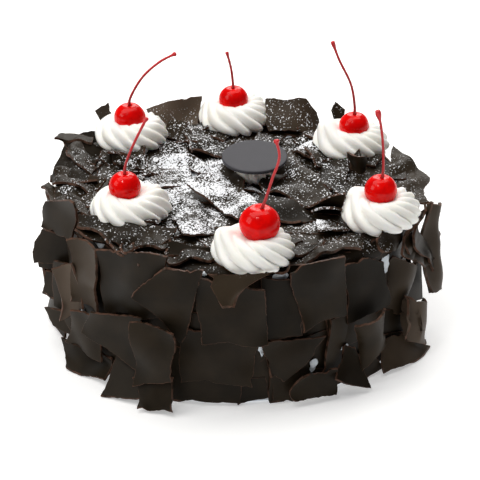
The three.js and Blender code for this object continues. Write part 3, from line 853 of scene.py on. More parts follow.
@dataclass(frozen=True)
class Shaving:
    """A loose curl: its strip's nearer long edge and the way to the other one, in millimetres."""

    edge: tuple[tuple[float, float, float], ...]
    across: tuple[float, float, float]

    def net(self, draw: Draw) -> Net:
        """The two long edges, the farther one a little uneven."""
        near = [Vector(spot) * MM for spot in self.edge]
        over = Vector(self.across) * MM
        far = [spot + over + Vector([draw.spread(1.2 * MM) for _axis in range(3)])
               for spot in near]
        return [near, far]


@dataclass(frozen=True)
class Dab:
    """Cream that shows between two sheets of the side. Lengths in mm, angles in degrees."""

    azimuth: float
    level: float
    width: float
    height: float
    distance: float = 98.4
    roll: float = 0.0


@dataclass
class CakeBody:
    """The cream-coated cake with the chocolate that lies under the free sheets."""

    node: str = "cake_body"
    rows: tuple[SheetRow, ...] = (
        SheetRow(15, 11, 0, -3),
        SheetRow(42, 11, 17, 1),
        SheetRow(65, 11, 5, 1),
        SheetRow(15, 7, 12, -15, 5, 18, 172),
        SheetRow(40, 8, 2, 12, 5, 18, 172),
        SheetRow(61, 7, 9, 12, 5, 18, 172),
    )
    # flat sheets that close the coat between the others
    lining: tuple[SheetRow, ...] = (
        SheetRow(18, 13, 10, 0, 0.5, 0.5, width=52, height=36, bend=15),
        SheetRow(42, 13, 24, 0, 0.5, 0.5, width=52, height=36, bend=15),
        SheetRow(62, 13, 2, 0, 0.5, 0.5, width=52, height=36, bend=15),
    )
    tucked: tuple[PressedSheet, ...] = (
        PressedSheet((-57, 29), 2, -12, 6, ((-5, 17), (9, 17), (9, -20), (-9, -17))),
        PressedSheet((-72, 10), -8, 0, 8, ((-12, 12), (18, 6), (4, -9), (-12, -9))),
        PressedSheet((-102, 9), -6, 0, 6, ((-12, 6), (10, 7), (13, -4), (-13, -6))),
        PressedSheet((-87, 9), -6, 0, 8, ((-18, 7), (11, 7), (13, -5), (-5, -8))),
        PressedSheet((-168, 66), 0, -50, 10, ((1, 4), (17, 1), (18, -16), (-7, -20)),
                     (0, 0, 0, 2)),
        PressedSheet((-172, 57), 0, -56, 10, ((-1, 1), (15, 2), (15, -16), (-5, -17)),
                     (0, 0, 0, 2)),
        PressedSheet((-167, 40), 0, -45, 6, ((-2, 3), (15, 3), (16, -13), (-6, -13))),
        PressedSheet((-160, 42), 0, -30, 8, ((-8, 11), (11, 12), (10, -18), (-10, -20))),
        PressedSheet((-158, 24), 0, -34, 8, ((-13, -1), (13, 3), (14, -14), (-9, -10))),
        PressedSheet((-152, 28), 0, -24, 8, ((-8, 6), (8, 4), (-2, -16), (-11, -8))),
        PressedSheet((-29, 23), 0, 16, 20, ((-9, 11), (8, 6), (12, -14), (-10, -5))),
        PressedSheet((-30, 10), -4, 16, 10, ((-13, 11), (14, 3), (12, -8), (-11, -5))),
        PressedSheet((-46, 7), -10, 8, 8, ((-10, 9), (5, 9), (16, -5), (-8, -7))),
        PressedSheet((-12, 40), 0, 26, 10, ((-12, 8), (9, 5), (13, -23), (-10, -15))),
    )
    tucked_top: tuple[PressedSheet, ...] = (
        PressedSheet((-75, 27), 3, 0, 8, ((-7, 16), (8, 8), (8, -13), (-6, -9)), on_top=True),
        PressedSheet((-34, 86), 3, 0, 6, ((-17, 5), (13, 9), (12, -4), (-8, -14)), on_top=True),
        PressedSheet((23, 84), 3, 0, 6, ((-8, 9), (12, 5), (6, -12), (-8, -8)), on_top=True),
        PressedSheet((35, -52), 5, 0, 8, ((-7, 1), (5, 9), (7, -3), (-6, -8)), on_top=True),
        PressedSheet((47, -72), 10, 0, 8, ((-13, 1), (12, 9), (14, -2), (-10, -8)), on_top=True),
        PressedSheet((70, 28), 40, 0, 8, ((-5, 2), (1, 9), (5, -8), (-3, -9)), on_top=True),
        PressedSheet((60, 78), 60, 0, 4, ((-4, 5), (-1, 9), (5, 4), (2, -14)), on_top=True),
        PressedSheet((-70, 66), 50, 0, 4, ((-14, 13), (-6, 20), (2, -8), (-2, -10)), on_top=True),
    )
    shavings: tuple[Shaving, ...] = (
        Shaving(((97, -46, 84), (92, -53, 77), (91, -55, 70), (97, -47, 62), (101, -40, 54)),
                (5, 12, 1)),
        Shaving(((99, -43, 84), (94, -51, 78), (94, -52, 70), (101, -42, 58), (106, -33, 49)),
                (5, 12, 1)),
        Shaving(((103, -38, 84), (97, -50, 77), (100, -46, 68), (107, -33, 55), (112, -24, 42)),
                (4, 12, 1)),
        Shaving(((76, -66, 84), (83, -66, 77), (90, -50, 74)), (5, 18, 4)),
        Shaving(((65, 24, 84), (70, 15, 84), (74, 19, 84)), (0, 1, 11)),
        Shaving(((-72, 32, 85), (-66, 27, 84), (-59, 22, 84), (-55, 21, 84)), (1, 5, 5)),
        Shaving(((-30, 31, 84), (-25, 22, 84), (-20, 17, 84), (-15, 16, 84)), (3, 5, 4)),
        Shaving(((-7, 20, 89), (-1, 12, 88), (5, 0, 87)), (-3, -8, -4)),
        Shaving(((13, 0, 87), (18, 11, 88), (25, 20, 89)), (4, -9, -4)),
        Shaving(((-52, -50, 86), (-47, -53, 89), (-42, -51, 86)), (1, 6, 2)),
        # along the left of the rim
        Shaving(((-98, 40, 88), (-96, 31, 89), (-90, 20, 88), (-82, 12, 87)), (5, 24, -4)),
        Shaving(((-104, -2, 87), (-97, -3, 88), (-90, -5, 87), (-85, -10, 87), (-80, -16, 86)),
                (0, 26, -4)),
        Shaving(((-100, -26, 87), (-93, -27, 87), (-86, -35, 88), (-79, -41, 86)), (-3, 27, -5)),
        Shaving(((-86, -56, 87), (-77, -60, 88), (-70, -67, 87), (-63, -79, 84), (-55, -77, 86)),
                (0, 20, -4)),
        Shaving(((-110, 1, 85), (-106, -6, 84), (-103, -18, 83)), (5, 4, 0)),
        Shaving(((-107, 55, 88), (-101, 58, 87), (-94, 57, 87), (-85, 52, 87)), (1, 10, -2)),
        # along its front
        Shaving(((-61, -77, 86), (-56, -82, 87), (-49, -77, 88), (-42, -78, 87), (-35, -74, 86)),
                (1, 14, -4)),
        Shaving(((-37, -83, 86), (-34, -93, 84), (-27, -92, 86), (-18, -89, 85), (-10, -90, 86)),
                (2, 10, 1)),
        Shaving(((19, -100, 85), (26, -96, 84), (29, -88, 86), (38, -82, 85), (48, -71, 86)),
                (0, 13, -3)),
        Shaving(((36, -97, 84), (44, -89, 87), (53, -83, 88), (61, -77, 87), (68, -74, 84)),
                (0, 12, -2)),
        # along its back
        Shaving(((-30, 98, 86), (-22, 93, 87), (-13, 87, 86)), (1, 12, -3)),
        Shaving(((17, 86, 86), (23, 79, 87), (31, 81, 86), (37, 71, 87)), (3, 16, -3)),
        Shaving(((39, 66, 87), (45, 58, 88), (49, 46, 87)), (5, 20, -4)),
    )
    dabs: tuple[Dab, ...] = (
        Dab(-140, 80, 13, 5, 96), Dab(-100, 80, 4, 3), Dab(-76, 78, 9, 4), Dab(-34, 65, 7, 14),
        Dab(-82, 35, 3, 8), Dab(-65, 20, 4, 8, roll=-10), Dab(-53, 25, 4, 5), Dab(-149, 32, 3, 4),
    )
    lip_count: int = 15
    scrap_tries: int = 110
    scrap_size: float = 15 * MM
    coat_count: int = 44
    coat_reach: float = 88 * MM
    coat_size: float = 34 * MM
    wear: Breakage = Breakage(ripple=0.3 * MM, curl=0, cell=2.2 * MM)
    snapped: Breakage = Breakage(sway=2.4 * MM, sway_length=16 * MM, ripple=0.4 * MM, curl=0,
                                 cell=2.25 * MM)
    curled: Breakage = Breakage(ripple=2.4 * MM, ripple_length=9 * MM, curl=0)

    def core(self) -> bmesh.types.BMesh:
        """The cream under everything, a little uneven from the spatula."""
        shape = bmesh.new()
        radius, height = CORE_RADIUS - CREAM_BACK, CORE_HEIGHT - CREAM_BACK
        side_steps, round_steps, rings = 22, 5, 12
        outline = [Vector((radius * share / rings, 0, 0)) for share in range(rings)]
        outline[-1] = Vector((radius - CORE_FOOT, 0, 0))
        for step in range(side_steps):
            rise = CORE_FOOT + (height - CORE_ROUND - CORE_FOOT) * step / side_steps
            outline.append(Vector((radius, 0, rise)))
        for step in range(round_steps + 1):
            angle = math.pi / 2 * step / round_steps
            outline.append(Vector((radius - CORE_ROUND * (1 - math.cos(angle)), 0,
                                   height - CORE_ROUND * (1 - math.sin(angle)))))
        for step in range(rings - 1, -1, -1):
            outline.append(Vector(((radius - CORE_ROUND) * step / rings, 0, height)))
        verts = [shape.verts.new(place) for place in outline]
        edges = [shape.edges.new(pair) for pair in zip(verts, verts[1:])]
        bmesh.ops.spin(shape, geom=verts + edges, cent=(0, 0, 0), axis=(0, 0, 1),
                       angle=2 * math.pi, steps=160, use_merge=True)
        bmesh.ops.remove_doubles(shape, verts=shape.verts[:], dist=1e-6)
        bmesh.ops.recalc_face_normals(shape, faces=shape.faces[:])
        for vert in shape.verts:
            if vert.co.z > CORE_FOOT:
                wave = noise.noise(vert.co / (22 * MM)) * 0.5 * MM
                vert.co.z += wave * (vert.co.z > height - 1e-5)
                vert.co.xy *= 1 + wave / radius
        return shape

    def pressed(self) -> bmesh.types.BMesh:
        """The sheets pressed flat into the side."""
        draw = Draw(RULE_SEED)
        laid = [sheet for row in self.rows for sheet in row.sheets(draw)]
        laid += self.tucked
        flat = [sheet for row in self.lining for sheet in row.sheets(draw)]
        shape = bmesh.new()
        for seed, sheet in enumerate([*laid, *flat]):
            net, outward = sheet.net(SINK if seed < len(laid) else LINING_SINK)
            SheetSurface(net, outward, self.snapped, 400 + seed).add_to(shape)
        return shape

    def lips(self) -> bmesh.types.BMesh:
        """Flakes that bend over the rim, and the loose curls."""
        shape = bmesh.new()
        draw = Draw(31)
        for index in range(self.lip_count):
            centre = 360 * index / self.lip_count + draw.spread(5)
            half = 18 + draw.spread(3)
            droop = 74 + draw.spread(4)
            net = []
            for radius, level in ((82, 81.4), (94.5, 81.6), (98.6 + draw.spread(1), droop)):
                turns = [math.radians(centre + half * share) for share in (-1, 0, 1)]
                net.append([Vector((radius * math.cos(turn), radius * math.sin(turn),
                                    level + draw.spread(0.6))) * MM for turn in turns])
            SheetSurface(net, Vector((0, 0, 1)), self.wear, 800 + index).add_to(shape)
        for seed, curl in enumerate(self.shavings):
            SheetSurface(curl.net(draw), Vector((0, -1, 0.5)), self.curled, 900 + seed).add_to(shape)
        return shape

    def scraps(self, toppings: Sequence["Topping"]) -> bmesh.types.BMesh:
        """Small tilted flakes between the toppings, left out where large sheets lie open.

        Args:
            toppings: What they keep clear of.

        Returns:
            Their shape.
        """
        shape = bmesh.new()
        draw = Draw(63)
        for index in range(self.scrap_tries):
            angle = draw.spread(math.pi)
            distance = (56 + 40 * draw.share()) * MM
            size = self.scrap_size * (1 + draw.spread(0.4)) / 2
            stand = (
                Matrix.Translation((distance * math.cos(angle), distance * math.sin(angle),
                                    CORE_HEIGHT + (1.5 + draw.share() * 2) * MM))
                @ Matrix.Rotation(draw.spread(math.pi), 4, "Z")
                @ Matrix.Rotation(draw.spread(0.5), 4, "X")
                @ Matrix.Rotation(draw.spread(0.5), 4, "Y")
            )
            lift = draw.share() * 2.5 * MM
            place = stand.translation
            near_topping = any((item.foot - place).xy.length < 22 * MM for item in toppings)
            if near_topping or place.y < -35 * MM or (abs(angle) < 0.5 and distance < 75 * MM):
                continue
            outline = OUTLINES[index % len(OUTLINES)]
            corners = [stand @ Vector((x * size, y * size * 0.8, 0)) for x, y in outline]
            crown = [(a + b) / 2 + stand.to_3x3() @ Vector((0, 0, lift))
                     for a, b in ((corners[3], corners[2]), (corners[0], corners[1]))]
            net = [[corners[3], crown[0], corners[2]], [corners[0], crown[1], corners[1]]]
            SheetSurface(net, Vector((0, 0, 1)), Breakage(sway=0.6 * MM, curl=0.5 * MM),
                         1000 + index).add_to(shape)
        return shape

    def cream_dabs(self) -> bmesh.types.BMesh:
        """Cream that shows in the gaps of the side."""
        shape = bmesh.new()
        for dab in self.dabs:
            stand = (
                Matrix.Rotation(math.radians(dab.azimuth), 4, "Z")
                @ Matrix.Translation(Vector((dab.distance, 0, dab.level)) * MM)
                @ Matrix.Rotation(math.radians(dab.roll), 4, "X")
                @ Matrix.Diagonal(Vector((0.9, dab.width / 2, dab.height / 2, 1000)) * MM)
            )
            made = bmesh.ops.create_icosphere(shape, subdivisions=4, radius=1, matrix=stand)
            for vert in made["verts"]:
                vert.co += noise.noise_vector(vert.co / (3 * MM)) * 1.4 * MM
        return shape

    def coat(self) -> bmesh.types.BMesh:
        """Flakes that cover the cream of the top between and under the free sheets."""
        shape = bmesh.new()
        draw = Draw(77)
        turn = math.pi * (3 - math.sqrt(5))
        for seed, sheet in enumerate(self.tucked_top):
            net, outward = sheet.net(TOP_SINK)
            SheetSurface(net, outward, self.wear, 600 + seed).add_to(shape)
        for index in range(self.coat_count):
            distance = self.coat_reach * math.sqrt((index + 0.5) / self.coat_count)
            outline = OUTLINES[index % len(OUTLINES)]
            size = self.coat_size * (1 + draw.spread(0.2)) / 2
            stand = (
                Matrix.Translation((distance * math.cos(index * turn),
                                    distance * math.sin(index * turn),
                                    CORE_HEIGHT + draw.spread(0.7) * MM))
                @ Matrix.Rotation(draw.share() * math.pi, 4, "Z")
                @ Matrix.Rotation(draw.spread(0.04), 4, "X")
                @ Matrix.Rotation(draw.spread(0.04), 4, "Y")
            )
            corners = [stand @ Vector((x * size, y * size * 0.85, 0)) for x, y in outline]
            net = [[corners[3], corners[2]], [corners[0], corners[1]]]
            SheetSurface(net, Vector((0, 0, 1)), self.wear, 700 + index).add_to(shape)
        return shape

    def build(self, cream: bpy.types.Material, chocolate: bpy.types.Material,
              toppings: Sequence["Topping"]) -> list[bpy.types.Object]:
        """Makes the pieces of the body.

        Args:
            cream: Material of the core and the dabs, a greyer, bluish copy of the cream that paints
                shade.
            chocolate: Material of the flakes.
            toppings: What stands on the body.

        Returns:
            The pieces that sugar can fall on.
        """
        add_piece("cream_core", self.core(), cream, Slot.BODY, [self.node])
        add_piece("cream_dabs", self.cream_dabs(), cream, Slot.BODY, [self.node])
        made = []
        for name, shape in (("pressed_sheets", self.pressed()), ("top_flakes", self.coat()),
                            ("rim_flakes", self.lips()), ("top_scraps", self.scraps(toppings))):
            piece = add_piece(name, shape, chocolate, Slot.BODY, [self.node])
            thicken(piece)
            made.append(piece)
        return made


def thicken(piece: bpy.types.Object) -> None:
    """Gives a sheet its thickness, inwards from its face, and softens its edges."""
    shell = piece.modifiers.new("thickness", "SOLIDIFY")
    shell.thickness = SHEET_THICK
    shell.offset = -1
    shell.use_rim = True
    soft = piece.modifiers.new("soft_edge", "BEVEL")
    soft.width = 0.28 * MM
    soft.segments = 2
    soft.limit_method = "ANGLE"
    soft.angle_limit = math.radians(50)
    soft.harden_normals = True


@dataclass
class FreeSheets:
    """The separate chocolate sheets of the side and the top."""

    families: tuple[str, ...] = ("side_shard", "top_sheet")
    beside: Breakage = Breakage(sway=3.2 * MM, sway_length=18 * MM, jag=0.6 * MM, bite=4.5 * MM,
                                bite_level=0.25, ripple=3.4 * MM, ripple_length=22 * MM,
                                curl=3 * MM)
    above: Breakage = Breakage(sway=1.8 * MM, jag=0.6 * MM, ripple=7 * MM, ripple_length=21 * MM,
                               front=5 * MM)
    ruffled: Breakage = Breakage(sway=1.6 * MM, ripple=5 * MM, ripple_length=13 * MM,
                                 front=3.2 * MM)
    rim: tuple[str, ...] = ("top_sheet_02", "top_sheet_03", "top_sheet_06", "top_sheet_11",
                            "top_sheet_18", "top_sheet_19", "top_sheet_20")
    # how far the upright edges of some bend back, in millimetres
    bows: Mapping[str, float] = field(default_factory=lambda: {
        "side_shard_02": -3, "side_shard_03": -3, "side_shard_17": 4, "side_shard_19": 5,
        "side_shard_20": 5, "side_shard_21": 4,
    })
    # painted light and shade: set tones that make some sheets paler, a painted milky light above 1,
    # or darker and matt below 0 as painted shade; the others are drawn
    painted_light_shade_tones: Mapping[str, float] = field(default_factory=lambda: {
        "side_shard_02": 1.9, "side_shard_03": 1.35, "side_shard_04": 0.1, "side_shard_06": 0.1,
        "side_shard_10": 0.1, "side_shard_12": 0.1, "side_shard_13": 0.1, "side_shard_14": -0.3,
        "side_shard_16": 0.0, "side_shard_17": 1.4, "side_shard_18": -0.4, "side_shard_20": 1.7,
        "side_shard_21": 1.25, "side_shard_24": 1.2, "side_shard_25": 1.4, "top_sheet_01": -0.8,
        "top_sheet_02": -1.0, "top_sheet_03": -0.4, "top_sheet_08": 1.9, "top_sheet_09": 1.35,
        "top_sheet_15": -0.3, "top_sheet_19": -1.0,
    })

    def build(self, chocolate: bpy.types.Material) -> list[bpy.types.Object]:
        """Makes one broken sheet for each packed one."""
        made = []
        names = [name for name in sorted(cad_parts) if name.startswith(self.families)]
        for seed, name in enumerate(names):
            net, outward = packed_net(name)
            shape = bmesh.new()
            wear = self.above if name.startswith("top") else self.beside
            if name in self.rim:
                wear = self.ruffled
            wear = replace(wear, bow=self.bows.get(name, 0.0) * MM)
            surface = SheetSurface(net, outward, wear, seed + 1)
            surface.tone = self.painted_light_shade_tones.get(name, surface.tone)
            surface.add_to(shape)
            piece = add_piece(f"broken_{name}", shape, chocolate, Slot.CHOCOLATE, [name])
            thicken(piece)
            made.append(piece)
        return made


# --------------------------------------------------------------------------- cream and fruit


@dataclass(frozen=True)
class Piping:
    """Sizes of a rosette from a star nozzle."""

    radius: float
    height: float
    ridges: int
    depth: float
    twist: float
    skew: float = 0.4             # how much closer the ridges lie on the right
    # distance, height, depth of the ridges and how far they have turned, as shares, from the
    # middle of the hollow on top to the middle of the underside
    profile: tuple[tuple[float, ...], ...] = (
        (0.00, 0.88, 0.00, 0.00), (0.20, 0.90, 0.02, 0.00), (0.38, 0.97, 0.10, 0.06),
        (0.50, 1.02, 0.22, 0.15), (0.63, 1.00, 0.42, 0.29), (0.78, 0.88, 0.70, 0.46),
        (0.91, 0.66, 0.95, 0.64), (0.99, 0.42, 1.10, 0.80), (1.00, 0.22, 1.15, 0.92),
        (0.94, 0.04, 0.90, 1.02), (0.80, -0.08, 0.50, 1.08), (0.45, -0.10, 0.10, 1.10),
        (0.00, -0.10, 0.00, 1.10),
    )


@dataclass(frozen=True)
class Stem:
    """A stem from its cherry's middle: points in millimetres, and its ends' thickness."""

    points: tuple[tuple[float, float, float], ...]
    knob: float = 1.25
    knob_length: float = 2.4


@dataclass(frozen=True)
class Topping:
    """A rosette on the cake's rim with its cherry. Lengths in millimetres, angles in degrees."""

    azimuth: float
    distance: float
    turn: float
    cherry: float
    offset: tuple[float, float]
    lift: float
    tail: tuple[float, float]     # where the piping ended and how far it stands up there
    stem: Stem

    @property
    def foot(self) -> Vector:
        """Middle of the rosette's underside."""
        angle = math.radians(self.azimuth)
        return Vector((self.distance * MM * math.cos(angle), self.distance * MM * math.sin(angle),
                       CORE_HEIGHT + ROSETTE_LIFT))

    @property
    def middle(self) -> Vector:
        """Middle of the cherry."""
        foot = self.foot
        return Vector((foot.x + self.offset[0] * MM, foot.y + self.offset[1] * MM,
                       CORE_HEIGHT + self.lift * MM))


@dataclass
class Toppings:
    """Rosettes, cherries and stems."""

    piping: Piping = Piping(20.8 * MM, 14 * MM, 11, 2.9 * MM, 85)
    small_piping: Piping = Piping(9.5 * MM, 11.5 * MM, 10, 1.6 * MM, 60)
    items: tuple[Topping, ...] = (
        Topping(134, 88.5, 0, 9.2, (-1, -2), 17.2, (-10, 1.5),
                Stem(((0.8, -1, 13), (8, 1, 25), (18, 1, 34.5), (28, 0, 40.5)), 1.3, 2.2)),
        Topping(91, 90, 9, 8.7, (0, -2), 17.4, (170, 1.5),
                Stem(((-0.5, 0, 12), (-1.5, 0, 20), (-4, 0, 30.5)), 1.1, 1.8)),
        Topping(38, 86, 20, 8.8, (1, -2), 16.6, (185, 3.5),
                Stem(((0, 0, 13), (-2.5, 1, 26), (-9.5, 1, 41), (-13.8, 0, 53)), 1.3, 4)),
        Topping(-27, 88.5, 4, 9, (0, 1), 19, (160, 3),
                Stem(((1, 0, 12), (0.5, 0, 26), (-1, 0, 38), (-3.2, 0, 47.5)), 1.7, 5)),
        Topping(-83.5, 85, 15, 10.8, (3, 2), 20.6, (185, 4),
                Stem(((3, 0, 14), (6.5, 0, 26), (10, 0, 38), (8.3, 0, 48.5)), 1.5, 2)),
        Topping(-149.5, 68, 11, 8.8, (-2, 0), 19, (10, 2),
                Stem(((0.5, 0, 12), (4, 0, 22), (9, 0, 33), (13, 0, 41)), 1.2, 1.8)),
    )
    stem_radius: float = 0.72 * MM

    def rosette(self, piping: Piping, foot: Vector, turn: float,
                tail: tuple[float, float] = (0, 0)) -> bmesh.types.BMesh:
        """A piped rosette.

        Args:
            piping: Its sizes.
            foot: Middle of its underside.
            turn: How far it is turned, in degrees.
            tail: Angle of the end of the piping, and how far it stands up, in millimetres.

        Returns:
            Its shape.
        """
        profile = [Vector(spot) for spot in piping.profile]
        step = 0.004

        def place(angle: float, share: float) -> Vector:
            """Point of the piped surface."""
            spot = smooth_between(profile, share)
            ahead = smooth_between(profile, min(1.0, share + step))
            behind = smooth_between(profile, max(0.0, share - step))
            slope = Vector(((behind.y - ahead.y) * piping.height,
                            (ahead.x - behind.x) * piping.radius))
            slope = slope.normalized() if slope.length > 0 else Vector((0.0, 1.0))
            swing = math.radians(turn + piping.twist * spot.w)
            wobble = noise.noise(foot * 50 + Vector((math.cos(angle), math.sin(angle), share)))
            packed = angle + piping.skew * math.sin(angle) - swing
            phase = (packed / (2 * math.pi) * piping.ridges + wobble * 0.35) % 1
            aside = math.remainder(angle - math.radians(tail[0]), 2 * math.pi)
            tip = tail[1] * MM * math.exp(-(aside / 0.45) ** 2 - ((share - 0.38) / 0.13) ** 2)
            push = piping.depth * spot.z * (ridge_height(phase) * (1 + wobble * 0.5) - 0.62)
            distance = piping.radius * spot.x * (1 + wobble * 0.04) + slope.x * push
            distance = max(0.0, distance + tip * 0.7)
            height = max(-1.4 * MM,
                         piping.height * spot.y * (1 + wobble * 0.06) + slope.y * push + tip)
            return foot + Vector((distance * math.cos(angle), distance * math.sin(angle), height))

        shape = bmesh.new()
        add_turned_form(shape, piping.ridges * 14, 64, place)
        return shape

    def cherry(self, item: Topping) -> bmesh.types.BMesh:
        """A cherry with the dimple of its stem and a slightly uneven swell."""
        radius = item.cherry * MM
        middle = item.middle

        def place(angle: float, share: float) -> Vector:
            """Point of the skin."""
            polar = math.pi * share
            around = Vector((math.cos(angle) * math.sin(polar), math.sin(angle) * math.sin(polar),
                             math.cos(polar)))
            swell = 1 + 0.035 * noise.noise(around * 1.3 + middle * 90)
            dimple = 0.17 * radius * math.exp(-((math.sin(polar) / 0.3) ** 2)) * (polar < 1.6)
            spot = around * radius * swell
            return middle + Vector((spot.x, spot.y, spot.z * 0.96 - dimple))

        shape = bmesh.new()
        add_turned_form(shape, 72, 48, place)
        return shape

    def stem(self, item: Topping) -> bmesh.types.BMesh:
        """A stem, thicker where it leaves its cherry and knobbed at its end."""
        route = [Vector((0, 0, item.cherry * 0.55))] + [Vector(spot) for spot in item.stem.points]
        length = sum((b - a).length for a, b in zip(route, route[1:]))
        knob_share = item.stem.knob_length / length
        shape = bmesh.new()
        tone = shape.verts.layers.float.new(TONE_LAYER)

        def place(angle: float, share: float) -> Vector:
            """Point of the stem's skin, from its free end to its root."""
            along = 1 - share
            centre = smooth_between(route, along)
            way = (smooth_between(route, min(1.0, along + 0.01))
                   - smooth_between(route, max(0.0, along - 0.01))).normalized()
            side = Vector((0, 1, 0)).cross(way).normalized()
            root = 0.7 * math.exp(-along / 0.10)
            knob = (item.stem.knob - self.stem_radius / MM) * math.exp(-((share - knob_share * 0.5)
                                                        / (knob_share * 0.6)) ** 2)
            thick = self.stem_radius / MM + root + knob
            thick *= 1 + 0.12 * noise.noise(centre * 0.6)
            end = min(1.0, math.sqrt(max(0.0, 1 - (1 - min(share, 1 - share) / 0.012) ** 2))
                      if min(share, 1 - share) < 0.012 else 1.0)
            ring = side * math.cos(angle) + way.cross(side) * math.sin(angle)
            return item.middle + (centre + ring * thick * end) * MM

        made = add_turned_form(shape, 14, 90, place)
        low = item.middle.z
        high = item.middle.z + route[-1].z * MM
        for vert in made:
            vert[tone] = (vert.co.z - low) / (high - low)
        return shape

    def build(self, cream: bpy.types.Material, red: bpy.types.Material,
              dry: bpy.types.Material) -> list[bpy.types.Object]:
        """Makes the six toppings and hands back the rosettes and cherries."""
        made = []
        for index, item in enumerate(self.items, 1):
            shape = self.rosette(self.piping, item.foot, item.turn, item.tail)
            made.append(add_piece(f"piped_rosette_{index}", shape, cream, Slot.CREAM,
                                  [f"rosette_{index}"]))
            made.append(add_piece(f"red_cherry_{index}", self.cherry(item), red, Slot.CHERRY,
                                  [f"cherry_{index}"]))
            add_piece(f"cherry_stem_{index}", self.stem(item), dry, Slot.CHERRY,
                      [f"cherry_{index}"])
        return made


def ridge_height(phase: float) -> float:
    """Height of a broad round ridge from 0 to 1, its valleys narrow and its far side steep."""
    crest = 0.7
    share = phase / crest if phase < crest else (1 - phase) / (1 - crest)
    return math.sin(share * math.pi / 2) ** 0.8


@dataclass
class Disc:
    """The plain disc near the middle, and the small rosette that holds it."""

    node: str = "plaque"
    holder: str = "centre_rosette"
    tilt: float = 4.0
    thick: float = 2 * MM

    def disc(self) -> bmesh.types.BMesh:
        """The disc, with rounded edges."""
        low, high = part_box(self.node)
        radius = (high.x - low.x) / 2
        shape = bmesh.new()
        bmesh.ops.create_cone(shape, cap_ends=True, cap_tris=False, segments=120,
                              radius1=radius, radius2=radius, depth=self.thick)
        rims = [edge for edge in shape.edges if edge.calc_face_angle() > 1]
        bmesh.ops.bevel(shape, geom=rims, offset=0.5 * MM, offset_type="OFFSET", segments=4,
                        profile=0.5, affect="EDGES", material=-1)
        caps = [face for face in shape.faces if len(face.verts) > 4]
        for ring in (2 * MM, 4 * MM, 5 * MM):
            bmesh.ops.inset_region(shape, faces=caps, thickness=ring)
        place = (Matrix.Translation((low + high) / 2)
                 @ Matrix.Rotation(math.radians(self.tilt), 4, "X"))
        bmesh.ops.transform(shape, matrix=place, verts=shape.verts[:])
        return shape

    def build(self, toppings: Toppings, grey: bpy.types.Material,
              cream: bpy.types.Material) -> list[bpy.types.Object]:
        """Makes the disc and its rosette."""
        low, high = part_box(self.holder)
        foot = Vector(((low.x + high.x) / 2, (low.y + high.y) / 2, CORE_HEIGHT + ROSETTE_LIFT))
        shape = toppings.rosette(toppings.small_piping, foot, 0)
        return [
            add_piece("grey_disc", self.disc(), grey, Slot.PLAQUE, [self.node]),
            add_piece("holding_rosette", shape, cream, Slot.CREAM, [self.holder]),
        ]


# --------------------------------------------------------------------------- icing sugar


@dataclass(frozen=True)
class SugarSpot:
    """A place on the top where more sugar fell. Lengths in millimetres."""

    x: float
    y: float
    reach: float
    cover: float


